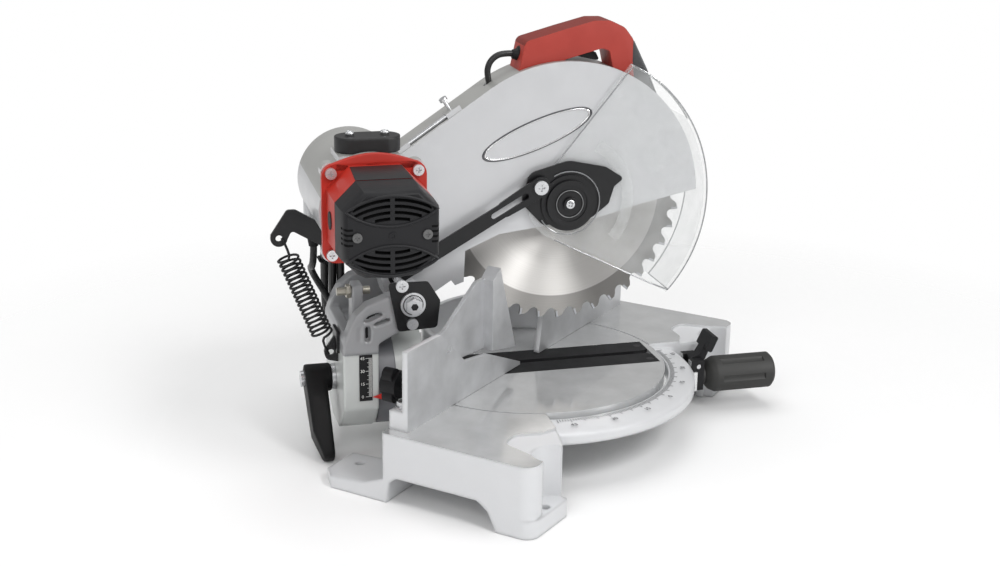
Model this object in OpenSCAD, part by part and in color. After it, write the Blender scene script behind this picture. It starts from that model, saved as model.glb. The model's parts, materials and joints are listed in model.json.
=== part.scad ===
// Bench mitre saw with a tilting, chopping head, shown at its right-hand mitre stop.
// X is the operator's right, Y points to the rear and Z up. The origin lies on the bench,
// at the middle of the four bolting holes. Millimetres throughout.

/* [Pose] */
// Mitre angle that the saw is shown at
mitre = 45; // [0:1:45]

/* [Base] */
// Width across both wings
base_w = 468; // [460:1:490]
// Height of the table top above the bench
table_h = 68; // [66:1:74]
// Rear edge of the wings, behind the turntable axis
wing_rear = 21; // [18:1:26]
// Front edge of the wings at their outer corners, ahead of the axis
wing_front = 136; // [134:1:142]
// Wall thickness of the castings
wall = 6; // [4:0.5:8]
// Sideways distance from the middle to each bolting hole
bolt_inset = 37; // [34:1:44]
// Distance from the axis back to the rear bolting holes
bolt_rear = 70; // [64:1:74]
// Distance from the axis forward to the front bolting holes
bolt_front = 128.5; // [126:0.5:132]
// Radius of the bolting holes
bolt_r = 4.5; // [3:0.5:5]
// Height of the rear lugs at their ends
lug_h = 11; // [8:1:14]
// Height of the arch in the end faces
arch_h = 26; // [18:1:30]

/* [Turntable] */
// Radius of the turntable disc
disc_r = 141; // [138:1:144]
// Thickness of the disc
disc_t = 10; // [8:1:12]
// Depth of the skirt below the table top
skirt_h = 23; // [20:1:24]
// Gap between the disc and the scale ring
ring_gap = 4; // [3:0.5:5]
// Width of the scale ring
ring_w = 27; // [24:1:29]
// Height of the scale ring
ring_h = 15; // [12:1:17]
// Half width of the kerf strips over both
strip_half = 31; // [28:1:34]
// Thickness of the kerf strips
strip_t = 4; // [3:0.5:5]
// Half width of the kerf between the strips
kerf_half = 4; // [3:0.5:5]
// Length of the mitre grip
grip_len = 76; // [60:1:90]
// Radius of the mitre grip
grip_r = 19; // [16:0.5:21]
// Height of the grip axis above the bench
grip_z = 37; // [34:0.5:39]

/* [Fence] */
// Height of the fence above the table
fence_h = 77; // [70:1:80]
// Thickness of the fence plates
fence_t = 6; // [5:0.5:7]
// Outer end of the fence plates
fence_end = 222; // [215:1:228]
// Depth of the fence feet
foot_d = 20; // [18:0.5:21]
// Height of the fence feet
foot_h = 18; // [14:1:20]

/* [Blade] */
// Blade diameter
blade_d = 255; // [250:1:258]
// Blade thickness
blade_t = 2.4; // [1.8:0.2:3]
// Blade bore
blade_bore = 25.4; // [25:0.1:26]
// Number of teeth
teeth = 40; // [24:4:48]
// Blade axis behind the turntable axis
blade_y = -30; // [-34:1:-26]
// Height of the blade axis
blade_z = 241; // [238:1:246]

/* [Head] */
// Chop pivot behind the turntable axis
pivot_y = 132; // [130:1:135]
// Height of the chop pivot
pivot_z = 158; // [156:1:161]
// Motor axis behind the turntable axis
motor_y = 178; // [176:1:182]
// Height of the motor axis
motor_z = 265; // [262:1:268]
// Outer radius of the motor drum
drum_r = 49; // [48:0.5:52]
// Face of the motor flange, left of the blade
flange_x = 112; // [106:1:118]
// Outer face of the motor cap, left of the blade
cap_x = 198; // [190:1:204]
// Near face of the upper guard, left of the blade
guard_near = 21; // [20:0.5:22]
// Far face of the upper guard, right of the blade
guard_far = 24; // [22:0.5:26]
// Clearance between the blade tips and the guard rim
rim_gap = 5.5; // [4.5:0.5:7]
// Thickness of the guard rim
rim_t = 4; // [3:0.5:5]
// Thickness of the guard side plates
side_t = 3; // [2:0.5:4]
// Radius of the spindle pulley
pulley_r = 27; // [24:0.5:28]
// Radius of the motor pulley
motor_pulley_r = 13.5; // [11:0.5:14]
// Width of the belt
belt_w = 10; // [8:0.5:12]
// Thickness of the belt
belt_t = 3; // [2:0.5:4]

/* [Bevel] */
// Radius of the bevel drums
bevel_r = 49; // [46:0.5:50]
// Front face of the arm holder's bevel drum
holder_y = 164; // [160:0.5:168]
// Gap between the turntable disc and the bevel joint
rear_gap = 23; // [18:0.5:28]
// Length of the arm holder's bevel drum
holder_len = 34; // [32:1:38]
// Half width of the arm holder's flat-sided body
body_x = 55; // [52:0.5:57]
// Outer face of the hinge lugs
lug_x = 58; // [56:0.5:60]
// Thickness of the hinge lugs
lug_t = 17; // [14:0.5:18]
// Radius of the hinge lugs
lug_r = 16; // [14:0.5:17]

/* [Fits] */
// Radial running clearance of shafts and pins
run = 0.05; // [0.02:0.01:0.1]
// Clearance between faces that slide past each other
slip = 0.3; // [0.2:0.05:0.5]

/* [Hidden] */
$fn = 64;
// Turntable axis, so that the bolting holes are centred on the origin
axis_y = (bolt_front - bolt_rear) / 2;
half_w = base_w / 2;
bolt_x = half_w - bolt_inset;
blade_r = blade_d / 2;
guard_r = blade_r + rim_gap + rim_t;
G = [blade_y, blade_z];
P = [pivot_y, pivot_z];
M = [motor_y, motor_z];
// Pin of the guard link on the lower guard, and its pivot on the bracket
K = G + [30, 18];
L = P + [10.5, 19];
// Ring radii, and the top of the ring at its inner edge
ring_in = disc_r + ring_gap;
// Bridge of the fence, inside the boss of the turntable
bridge_r = disc_r - 33;
bridge_t = 6;
bridge_h = 42;
ring_out = ring_in + ring_w;
ring_top = table_h - 5;
ring_bottom = ring_top - ring_h;
// Centre boss of the base that carries the turntable
boss_r = 24;
boss_bolt_r = 6;
skirt_z = table_h - skirt_h;
// Layers of the near side, left of the blade: lower guard, plate, hub cover, link
clear_near = guard_near + 3.2;
clear_t = 2.8;
clear_r = guard_r + 10;
clear_far = guard_far + 3.2;
plate_x = clear_near + clear_t;
plate_t = 2.6;
hub_x = plate_x + plate_t + slip;
hub_t = 1.6;
link_x = hub_x + hub_t + 0.6;
link_t = 3;
guard_boss_r = 20;
// Spindle, bearings and belt line, right of the blade
spindle_r = 10;
flange_t = 5.8;
housing_end = guard_far + 26;
bearing_r = 15;
bearing_w = 9;
belt_x = housing_end + 6;
cover_end = belt_x + belt_w + 8;
// Spindle lock button, between the two spindle bearings
lock_x = guard_far + 11.5;
shaft_r = 7;
motor_bearing_r = 13;
motor_bore_r = drum_r - 4.5;
// Screw positions of the motor flange, from the motor axis
flange_dy = 39;
flange_dz = 37;
housing_len = 44;
cap_w = 82;
cap_h = 76;
// Bevel axis height, and the bolt through it
bevel_z = table_h;
bevel_bolt_r = 8;
boss_front = 116;
// Depth of the grip's screw hole behind the disc's front edge
grip_hole = 20;
holder_rear = holder_y + holder_len;
setback = disc_r + rear_gap - holder_y;
pin_r = 8;
// Bolt that stops the head at the top of its travel
stop_x = -20;
stop_z = pivot_z + 4;
link_plate_t = 3;
// Straight slope behind the blade, from where it leaves the round of the guard
slope_a = 34.3;
slope_n = [sin(slope_a), cos(slope_a)];
slope_d = [cos(slope_a), -sin(slope_a)];
slope_top = G + guard_r * slope_n;
slope_len = 112;
// Handle outline sits on the guard rim
handle_x0 = -15;
handle_x1 = 19;
handle_mid = (handle_x0 + handle_x1) / 2;
handle_wall = 3;
// Flip fence pivot on the left fence plate
flip_x = -151;
flip_z = table_h + 59;
flip_y0 = fence_t + 4.3;
flip_t = 4;
flip_pin_r = 4;
// Clamp knob behind the left fence
knob_x = -200;
knob_z = table_h + 35;
knob_y = 21;
// Return spring ends in the head frame, in the plane of its two eyes
spring_x = -22;
eye_top = [252, 219];
eye_low = [205, 102];
eye_r = 3.2;
eye_plate = 4;
spring_r = 9.75;
wire_r = 1.25;
spring_turns = 18;
spring_lead = 20;
// Mains lead: gland, route to the hank, and the hank itself, in the head frame
cord_r = 3.5;
gland_at = [16, 214, 222];
gland_len = 23;
cord_route = [[16, 214, 221], [16, 214, 200], [17, 214, 193], [19, 214, 187], [22.5, 214, 181],
    [27.5, 214, 176.5], [33.5, 213.5, 173], [40, 213, 170.5], [46.5, 212.5, 168.5], [52.5, 211.5, 165],
    [57.5, 210, 160], [61, 207.5, 154.5], [63, 204, 148], [64, 200.5, 141], [64, 196, 133], [64, 191.5,
        124]];
hank_y0 = 176;
hank_y1 = 190.5;
hank_x = 100.5;
hank_z = 150;
hank_r = 40;
hank_run = 60;
// Handle lead from the handle's bush over the rim and down behind the guard
lead_r = 3;
lead_end = [46, blade_z + sqrt(guard_r * guard_r - pow(46 - blade_y, 2)) - 3];
lead_top = blade_z + guard_r + 10;
lead_route = [[2, 19, lead_top], [2, 28, lead_top], [2, 37, lead_top - 2], [2, 45, lead_top - 9],
    [2, 48, lead_top - 18], [2, 47, lead_end.y + 8], [2, lead_end.x, lead_end.y + 0.4]];
small = 0.01;

// Places children in the frame of the turntable axis
module at_axis() translate([0, axis_y, 0]) children();
// Places children in the frame of the turntable and head
module swung() at_axis() rotate([0, 0, mitre]) children();
module carried() swung() translate([0, setback, 0]) children();
// Extrudes an outline drawn in y and z along x
module slab(x0, x1) translate([x0, 0, 0]) rotate([90, 0, 90]) linear_extrude(x1 - x0) children();
// Extrudes an outline drawn in x and z along y
module wall_y(y0, y1) translate([0, y1, 0]) rotate([90, 0, 0]) linear_extrude(y1 - y0) children();
// Round bars along x, through c = [y, z], and along y
module rod_x(c, x0, x1, r) translate([x0, c.x, c.y]) rotate([0, 90, 0]) cylinder(h = x1 - x0, r = r);
module rod_y(x, z, y0, y1, r) translate([x, y0, z]) rotate([-90, 0, 0]) cylinder(h = y1 - y0, r = r);
// Box from one corner to the other
module block(a, b) translate(a) cube(b - a);
// Both sides of the saw
module both_sides() {
    children();
    mirror([1, 0, 0]) children();
}

function unit(v) = v / norm(v);
function fillet(a, b, c, r, n) = r <= 0 ? [b] :
    let (u = unit(a - b), w = unit(c - b), half = acos(u * w) / 2)
    let (mid = b + unit(u + w) * r / sin(half), s = b + u * r / tan(half) - mid)
    let (e = b + w * r / tan(half) - mid, a0 = atan2(s.y, s.x))
    let (turn = (atan2(e.y, e.x) - a0 + 540) % 360 - 180)
    [for (i = [0:n]) mid + r * [cos(a0 + turn * i / n), sin(a0 + turn * i / n)]];
// Outline with its corners rounded; r is one radius or one for each corner
function rounded(pts, r, n = 5) = let (m = len(pts))
    [for (i = [0:m - 1]) each fillet(pts[(i + m - 1) % m], pts[i], pts[(i + 1) % m],
        is_list(r) ? r[i] : r, n)];
function arc(c, r, a0, a1, n = 24) = [for (i = [0:n]) c + r * [cos(a0 + (a1 - a0) * i / n),
    sin(a0 + (a1 - a0) * i / n)]];
// Oval from a to b with round ends of two radii
module oval(a, b, ra, rb) {
    lean = acos((ra - rb) / norm(b - a));
    dir = atan2(b.y - a.y, b.x - a.x);
    polygon(concat(arc(a, ra, dir + lean, dir + 360 - lean), arc(b, rb, dir - lean, dir + lean)));
}
// Tube swept along points, with its rings turned about a reference direction
module tube(path, r, sides, ref) {
    n = len(path);
    rings = [for (i = [0:n - 1]) let (t = unit(path[min(i + 1, n - 1)] - path[max(i - 1, 0)]))
        let (u = unit(cross(t, ref)), v = cross(t, u))
        [for (k = [0:sides - 1]) path[i] + r * (cos(360 * k / sides) * u + sin(360 * k / sides) * v)]];
    polyhedron([for (ring = rings) each ring], concat(
        [[for (k = [0:sides - 1]) sides - 1 - k]],
        [for (i = [0:n - 2]) for (k = [0:sides - 1])
            each let (a = i * sides + k, b = i * sides + (k + 1) % sides)
                [[a, b, b + sides], [a, b + sides, a + sides]]],
        [[for (k = [0:sides - 1]) (n - 1) * sides + k]]));
}
// Screw along x with a domed head towards the viewer and a cross recess
module screw_x(c, x, head_r, head_t, shank_r, shank_len) {
    rod_x(c, x, x + shank_len, shank_r);
    difference() {
        rod_x(c, x - head_t, x, head_r);
        translate([x - head_t, c.x, c.y]) for (turn = [0, 90]) rotate([turn, 0, 0])
            cube([head_t, head_r, head_r / 4], center = true);
    }
}

// Base and fence

channel = [-190, 2 - wing_front];
channel_r = 22;
lug_top = lug_h + 6;
function wing_outline(inset) = rounded([[-half_w + inset, wing_rear - inset], [-half_w + inset,
    inset - wing_front],
    [-166, inset - wing_front + 7], [-146, inset - wing_front + 22], [-112, inset - 81], [-112,
        wing_rear - inset]],
    [3, 13, 8, 5, 0, 0]);
module wing() {
    arch = [[16, -1], [13, arch_h - 6], [5, arch_h], [-80, arch_h], [-91, arch_h - 8], [-100, -1]];
    difference() {
        union() {
            // Box with a hollow underside
            difference() {
                linear_extrude(table_h) polygon(wing_outline(0));
                translate([0, 0, -1]) linear_extrude(table_h - wall - 1) difference() {
                    polygon(wing_outline(wall));
                    circle(r = disc_r + 2 + wall);
                    translate(channel) circle(r = channel_r + wall);
                }
            }
            // Rear lug, falling away to its end
            slab(-half_w, -half_w + 56) polygon([[wing_rear - 8, 0], [wing_rear - 8, lug_h + 14],
                [wing_rear, lug_h + 11], [wing_rear + 20, lug_h + 3], [bolt_rear + 22, lug_h],
                    [bolt_rear + 22, 0]]);
            // Front lug, under the channel that gives access to its bolt
            linear_extrude(lug_top) polygon(rounded([[-half_w, 30 - wing_front], [-half_w, -wing_front],
                [-171, -wing_front - 2], [-163, 30 - wing_front]], [0, 13, 3, 0]));
        }
        // Clearance round the turntable
        translate([0, 0, skirt_z - 4]) cylinder(h = table_h, r = disc_r + 2);
        slab(-half_w - 1, -100) polygon(rounded(arch, [0, 4, 5, 8, 10, 0]));
        // Front wall stops at the lug, below the ring
        block([-164, -wing_front - 20, -1], [-100, 66 - wing_front, ring_bottom]);
        // Channel down to the front lug, and the lowered surface round it
        translate([channel.x, channel.y, lug_top]) cylinder(h = table_h, r = channel_r);
        translate([0, 0, table_h - 2.5]) linear_extrude(5) polygon(rounded([[-207, -wing_front - 4],
            [-206, 16 - wing_front], [-196, 51 - wing_front], [-174, 53 - wing_front], [-157,
                34 - wing_front],
            [-140, 28 - wing_front], [-120, -wing_front - 4]], [0, 8, 12, 12, 8, 0, 0]));
        // Chamfered corner of the rear lug
        translate([-half_w, bolt_rear + 22, -1]) rotate([0, 0, 45]) cube([20, 20, table_h], center = true);
        translate([-bolt_x, bolt_rear, -1]) cylinder(h = table_h, r = bolt_r);
        translate([-bolt_x, -bolt_front, -1]) cylinder(h = lug_top + 4, r = bolt_r);
    }
}
module base() color([0.84, 0.85, 0.86]) at_axis() {
    both_sides() wing();
    // Scale ring across the front, with a sloped top
    intersection() {
        rotate_extrude($fn = 128) polygon([[ring_in, ring_bottom], [ring_out, ring_bottom],
            [ring_out, ring_top - 6], [ring_out - 4, ring_top - 3], [ring_in, ring_top]]);
        translate([0, 0, ring_bottom]) linear_extrude(ring_h)
            polygon([[0, 0], [-260, -150], [-260, -300], [260, -300], [260, -150]]);
    }
    // Cross beam and boss that carry the turntable
    difference() {
        union() {
            block([-disc_r - 12, -20, 16], [disc_r + 12, 16, skirt_z - 8]);
            translate([0, 0, 16]) cylinder(h = skirt_z - slip - 16, r = boss_r);
        }
        block([-disc_r + 6, -20 + wall, 15], [-boss_r - 2, 16 - wall, skirt_z - 8 - wall]);
        block([boss_r + 2, -20 + wall, 15], [disc_r - 6, 16 - wall, skirt_z - 8 - wall]);
        translate([0, 0, 15]) cylinder(h = table_h, r = boss_bolt_r + run);
    }
}
fence_z = table_h + fence_h;
module fence() color([0.8, 0.81, 0.82]) at_axis() difference() {
    union() {
        // Left plate steps down for the flip fence, then slopes to the kerf
        wall_y(0, fence_t) polygon([[-fence_end, table_h], [-fence_end, fence_z], [flip_x - 15, fence_z],
            [flip_x + 30, table_h + 37], [flip_x + 74, table_h + 31], [-14, table_h + 4], [-14,
                table_h + 0.6],
            [-disc_r - 6, table_h + 0.6], [-disc_r - 6, table_h]]);
        wall_y(0, fence_t) polygon([[26, table_h + 0.6], [disc_r + 6, table_h + 0.6], [disc_r + 6, table_h],
            [fence_end, table_h], [fence_end, fence_z], [40, fence_z]]);
        both_sides() {
            block([-fence_end, 0, table_h], [-fence_end + 58, foot_d, table_h + foot_h]);
            // Rib from the foot up the back of the plate
            slab(-fence_end + 50, -fence_end + 56) polygon([[0, table_h], [foot_d, table_h], [foot_d,
                table_h + foot_h],
                [fence_t, table_h + foot_h + 30], [0, table_h + foot_h + 30]]);
        }
        // Curved bridge behind the blade
        intersection() {
            translate([0, 0, table_h + 1]) difference() {
                cylinder(h = bridge_h, r = bridge_r);
                translate([0, 0, -1]) cylinder(h = bridge_h + 2, r = bridge_r - bridge_t);
            }
            difference() {
                block([-bridge_r, 1, table_h], [bridge_r, bridge_r, table_h + bridge_h + 2]);
                block([flip_x - 20, 0, flip_z - 31], [flip_x + 90, flip_y0 + flip_t + 3, fence_z]);
            }
        }
        // Boss that takes the clamp screw
        rod_y(knob_x, knob_z, fence_t - small, knob_y - 9, 9);
    }
    rod_y(knob_x, knob_z, 2, 40, 3 + run);
    rod_y(flip_x, flip_z, -1, 20, flip_pin_r);
    for (x = [-fence_end + 12, -fence_end + 38, fence_end - 38, fence_end - 12])
        translate([x, 13, table_h - 1]) cylinder(h = 40, r = 3.2);
}
module fence_bolts() color([0.75, 0.76, 0.78]) at_axis()
    for (x = [-fence_end + 12, -fence_end + 38, fence_end - 38, fence_end - 12]) translate([x, 13,
        table_h]) {
        cylinder(h = foot_h, r = 3.1);
        translate([0, 0, foot_h]) cylinder(h = 1.4, r = 6.4);
        translate([0, 0, foot_h + 1.4]) cylinder(h = 4.6, r = 5.6, $fn = 6);
    }
module turntable_bolt() color([0.72, 0.73, 0.75]) at_axis() {
    translate([0, 0, 8]) cylinder(h = table_h - disc_t - 8 + 2, r = boss_bolt_r);
    translate([0, 0, 8]) cylinder(h = 8, r = 10, $fn = 6);
    translate([0, 0, table_h - disc_t + slip]) cylinder(h = 4, r = 10, $fn = 6);
}
module flip_pin() color([0.72, 0.73, 0.75]) at_axis() {
    rod_y(flip_x, flip_z, 0.2, flip_y0 + flip_t + 1, flip_pin_r - run);
    rod_y(flip_x, flip_z, fence_t, flip_y0 - slip, flip_pin_r + 2.5);
    rod_y(flip_x, flip_z, flip_y0 + flip_t + slip, flip_y0 + flip_t + 4, flip_pin_r + 3);
}
module flip_fence() color([0.82, 0.83, 0.84]) at_axis() {
    difference() {
        wall_y(flip_y0, flip_y0 + flip_t) polygon(rounded([[flip_x - 12, flip_z - 14], [flip_x - 14,
            flip_z + 10],
            [flip_x + 10, flip_z + 14], [flip_x + 66, flip_z + 46], [flip_x + 84, flip_z + 46],
                [flip_x + 84, flip_z - 26],
            [flip_x + 30, flip_z - 22]], [8, 8, 8, 4, 0, 0, 4]));
        rod_y(flip_x, flip_z, 0, 30, flip_pin_r + run);
    }
    // Tall nose beside the blade, flush with the fence face
    wall_y(0, flip_y0 + flip_t) polygon([[flip_x + 80, flip_z - 26], [flip_x + 80, flip_z + 45],
        [flip_x + 94, flip_z + 55], [flip_x + 100, flip_z + 38], [flip_x + 127, flip_z - 36]]);
}
module fence_knob() color([0.2, 0.2, 0.21]) at_axis() {
    rod_y(knob_x, knob_z, 3, knob_y, 3);
    difference() {
        union() {
            rod_y(knob_x, knob_z, knob_y, knob_y + 16, 13);
            for (turn = [0:120:359]) translate([knob_x, 0, knob_z]) rotate([0, turn, 0])
                rod_y(11, 0, knob_y + 3, knob_y + 14, 7);
        }
        rod_y(knob_x, knob_z, knob_y + 12, knob_y + 20, 6);
    }
}

// Turntable

module turntable() color([0.78, 0.79, 0.8]) swung() difference() {
    union() {
        translate([0, 0, table_h - disc_t]) cylinder(h = disc_t, r = disc_r, $fn = 128);
        translate([0, 0, skirt_z]) difference() {
            cylinder(h = skirt_h - 2, r = disc_r, $fn = 128);
            translate([0, 0, -1]) cylinder(h = skirt_h, r = disc_r - wall, $fn = 128);
        }
        translate([0, 0, skirt_z]) cylinder(h = skirt_h - 2, r = boss_r + 6);
        // Ribs under the disc
        for (turn = [30:60:359]) rotate([0, 0, turn]) block([0, -3, skirt_z + 4], [disc_r - 2, 3,
            table_h - 2]);
        // Arm under the ring out to the grip
        block([-18, -ring_out - 10, grip_z - 11], [18, -disc_r + 30, ring_bottom - 1.2]);
        block([-18, -disc_r + wall, grip_z - 11], [18, -disc_r + 30, table_h - 2]);
        block([-16, -ring_out - 18, grip_z - 11], [16, -ring_out - 3, ring_top - 4]);
        // Rear boss that carries the bevel drum
        block([-36, disc_r - 30, skirt_z - 10], [36, disc_r + rear_gap - 1, table_h - 1.5]);
        rod_y(0, bevel_z, boss_front + setback, disc_r + rear_gap - slip, bevel_r);
    }
    // Kerf strip recess and the slot for the blade
    block([-strip_half - 0.2, -disc_r + 7, table_h - strip_t], [strip_half + 0.2, 94, table_h + 1]);
    block([-12, -disc_r + 22, 40], [14, -boss_r - 8, table_h]);
    block([-12, -boss_r - 9, table_h - disc_t - 1], [14, -12, table_h]);
    block([-12, -13, table_h - 5], [14, boss_r + 9, table_h]);
    block([-12, boss_r + 8, 40], [14, 74, table_h]);
    translate([0, 0, skirt_z - 1]) cylinder(h = table_h, r = boss_bolt_r + run);
    translate([0, 0, table_h - disc_t]) cylinder(h = disc_t + 1, r = 14);
    rod_y(0, grip_z, -ring_out - 20, -disc_r + grip_hole, 6 + run);
    // Slot and pin hole for the latch
    block([-7.5, -ring_out - 19, grip_z + 9], [7.5, -ring_out - 2, table_h]);
    rod_x([-ring_out - 12, grip_z + 15], -20, 20, 2.5);
    rod_y(0, bevel_z, boss_front + setback - 5, disc_r + rear_gap + 1, bevel_bolt_r);
    // Room for the strip screws
    for (s = [-1, 1]) for (y = [-disc_r + 14, 84]) translate([s * 20, y, 40]) cylinder(h = 40, r = 1.6);
}
module kerf_strips() color([0.13, 0.13, 0.14]) swung() both_sides() difference() {
    translate([0, 0, table_h - strip_t]) linear_extrude(strip_t)
        polygon([[kerf_half, -disc_r + 12], [kerf_half + 4, -disc_r + 7], [strip_half, -disc_r + 7],
            [strip_half, 94],
            [kerf_half, 94]]);
    for (y = [-disc_r + 14, 84]) translate([20, y, table_h - strip_t - 1]) {
        cylinder(h = 10, r = 1.6);
        translate([0, 0, strip_t - 0.8]) cylinder(h = 3, r = 4.2);
    }
}
module kerf_screws() color([0.72, 0.73, 0.75]) swung()
    for (s = [-1, 1]) for (y = [-disc_r + 14, 84]) translate([s * 20, y, table_h - strip_t - 5]) {
        cylinder(h = strip_t + 4.2, r = 1.5);
        translate([0, 0, strip_t + 4.2]) cylinder(h = 0.7, r = 4);
    }
grip_y = -ring_out - 18;
module mitre_grip() color([0.12, 0.12, 0.13]) swung() {
    rod_y(0, grip_z, grip_y, -disc_r + grip_hole - 1, 6);
    rod_y(0, grip_z, grip_y - 6, grip_y, 9);
    difference() {
        translate([0, grip_y - 6, grip_z]) rotate([90, 0, 0]) rotate_extrude() polygon([[0, 0], [10, 0],
            [grip_r - 3, 5], [grip_r, 11], [grip_r, grip_len - 3], [grip_r - 3, grip_len], [0, grip_len]]);
        // Flutes along the grip
        for (turn = [0:60:359]) translate([0, 0, grip_z]) rotate([0, turn, 0])
            rod_y(grip_r + 4, 0, grip_y - grip_len + 6, grip_y - 22, 5.5);
    }
}
latch = [-ring_out - 12, grip_z + 15];
module mitre_latch() color([0.13, 0.13, 0.14]) swung() difference() {
    union() {
        slab(-6.5, 6.5) polygon(rounded([latch + [6, 7], latch + [-3, 10], latch + [-14, 30],
            latch + [-21, 30],
            latch + [-10, 5], latch + [-5, -4], latch + [4, -4]], [2, 2, 2, 2, 3, 3, 3]));
        slab(-14, 14) polygon(rounded([latch + [-7.5, 17], latch + [-14.5, 32], latch + [-21.5, 31],
            latch + [-14, 14]], 2));
    }
    rod_x(latch, -20, 20, 2.5 + run);
}
module latch_pin() color([0.72, 0.73, 0.75]) swung() rod_x(latch, -15.5, 15.5, 2.5);
module bevel_bolt() color([0.72, 0.73, 0.75]) carried() {
    rod_y(0, bevel_z, boss_front + 2, holder_rear + 34, bevel_bolt_r - run);
    rod_y(0, bevel_z, holder_rear + slip, holder_rear + 4, 13);
}
module bevel_pointer() color([0.8, 0.12, 0.1]) carried() intersection() {
    difference() {
        rod_y(0, bevel_z, holder_y - 13, holder_y - 1, bevel_r + 1.6);
        rod_y(0, bevel_z, holder_y - 20, holder_y + 10, bevel_r);
    }
    translate([0, 0, bevel_z]) rotate([0, 16, 0]) translate([-bevel_r - 5, holder_y - 13,
        0]) linear_extrude(8, center = true)
        polygon([[0, 0], [12, 0], [12, 12], [0, 12]]);
}
lever_dir = 228;
lever_len = 86;
module bevel_lever() color([0.12, 0.12, 0.13]) carried() translate([0, 0, bevel_z]) difference() {
    union() {
        rod_y(0, 0, holder_rear + 4 + slip, holder_rear + 30, 14);
        rotate([0, -lever_dir, 0]) intersection() {
            wall_y(holder_rear, holder_rear + 40) polygon(rounded([[-10, -13], [24, -14],
                [lever_len - 22, -11],
                [lever_len, -9], [lever_len, 9], [lever_len - 22, 12], [24, 14], [-10, 13]], [8, 6, 8,
                    7, 7, 8, 6, 8]));
            // The arm thins towards its tip
            translate([0, 0, -20]) linear_extrude(40) polygon([[-12, holder_rear + 10], [lever_len + 1,
                holder_rear + 10],
                [lever_len + 1, holder_rear + 20], [lever_len - 28, holder_rear + 29], [-12,
                    holder_rear + 31]]);
        }
    }
    rod_y(0, 0, holder_rear, holder_rear + 40, bevel_bolt_r);
}

// Arm holder

lug_in = lug_x - lug_t;
post_y = holder_rear - 7;
scale_y = holder_y + 6;
scale_w = 13;
module arm_holder() color([0.62, 0.64, 0.66]) carried() difference() {
    union() {
        wall_y(holder_y, holder_rear) polygon(rounded([[-body_x, bevel_z - 16], [-body_x, bevel_z + 46],
            [-body_x + 9, bevel_z + 54], [body_x - 9, bevel_z + 54], [body_x, bevel_z + 46], [body_x,
                bevel_z - 16],
            [body_x - 17, bevel_z - 36], [18, bevel_z - 47], [-18, bevel_z - 47], [-body_x + 17,
                bevel_z - 36]], 4));
        // Hinge lugs that reach forward over the bevel joint
        for (x = [-lug_x, lug_in]) slab(x, x + lug_t) {
            translate(P) circle(r = lug_r);
            polygon([P + [-lug_r, 0], P + [-lug_r + 3, -18], [holder_y - 13, bevel_z + 58], [holder_y,
                bevel_z + 51],
                [holder_y, bevel_z + 42], [holder_rear, bevel_z + 42], [holder_rear, bevel_z + 52],
                [holder_rear - 6, bevel_z + 69], [holder_rear - 12, bevel_z + 80], [holder_rear - 23,
                    bevel_z + 90],
                [holder_rear - 37, bevel_z + 95], P + [8, 13.5]]);
        }
        // Web behind the head between the lugs
        slab(-lug_in - 1, lug_in + 1) polygon([[holder_rear - 14, bevel_z + 50], [holder_rear,
            bevel_z + 50],
            [holder_rear - 2, bevel_z + 60], [holder_rear - 12, bevel_z + 60]]);
        // Post for the stop bolt
        slab(stop_x - 10, stop_x + 10) polygon([[post_y - 18, bevel_z + 50], [post_y - 5, bevel_z + 50],
            [post_y - 7, stop_z + 8], [post_y - 17, stop_z + 8]]);
    }
    rod_x(P, -lug_x - 1, lug_x + 1, pin_r);
    rod_y(0, bevel_z, holder_y - 1, holder_rear + 1, bevel_bolt_r + run);
    // Seat of the scale plate
    block([-body_x - 1, scale_y, bevel_z - 7], [-body_x + 0.7, scale_y + scale_w, bevel_z + 40.5]);
    // Upright and curved slots in the left lug
    slab(-lug_x - 1, -lug_x + 7) {
        for (q = [[holder_y + 8, 5.5], [holder_y + 16.5, 3.4]])
            translate([q.x, bevel_z + 54]) square([q.y, 15]);
        polygon([[holder_rear - 17, bevel_z + 72.5], [holder_rear - 24, bevel_z + 79.5],
            [holder_rear - 33, bevel_z + 82.3],
            [holder_rear - 41, bevel_z + 81], [holder_rear - 35, bevel_z + 78], [holder_rear - 26,
                bevel_z + 74]]);
        polygon([[holder_rear - 28, bevel_z + 68], [holder_rear - 29, bevel_z + 71.5],
            [holder_rear - 45, bevel_z + 77],
            [holder_rear - 45, bevel_z + 73]]);
    }
    rod_y(stop_x, stop_z, post_y - 20, post_y + 1, 4);
    // Hollow behind the joint face
    difference() {
        rod_y(0, bevel_z, holder_y - 1, holder_rear - 8, bevel_r - 7);
        rod_y(0, bevel_z, holder_y - 2, holder_rear, 18);
    }
}
module bevel_scale() color([0.08, 0.08, 0.09]) carried()
    block([-body_x - 0.3, scale_y + 0.2, bevel_z - 6.8], [-body_x + 0.7, scale_y + scale_w - 0.2,
        bevel_z + 40.3]);
module chop_pin() color([0.75, 0.76, 0.78]) carried() {
    rod_x(P, -lug_x - link_plate_t - 3, lug_x + 12, pin_r - run);
    rod_x(P, -lug_x - link_plate_t - 3, -lug_x - link_plate_t, 12);
    rod_x(P, -lug_x - link_plate_t - 10, -lug_x - link_plate_t - 3, 8.5, $fn = 6);
    rod_x(P, lug_x, lug_x + 8, 12, $fn = 6);
    // Spacer between the left lug and the hub
    difference() {
        rod_x(P, -lug_in, -30 - slip, 11);
        rod_x(P, -lug_in - 1, -29, pin_r - small);
    }
}
link_plate_x = -lug_x - link_plate_t;
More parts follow.
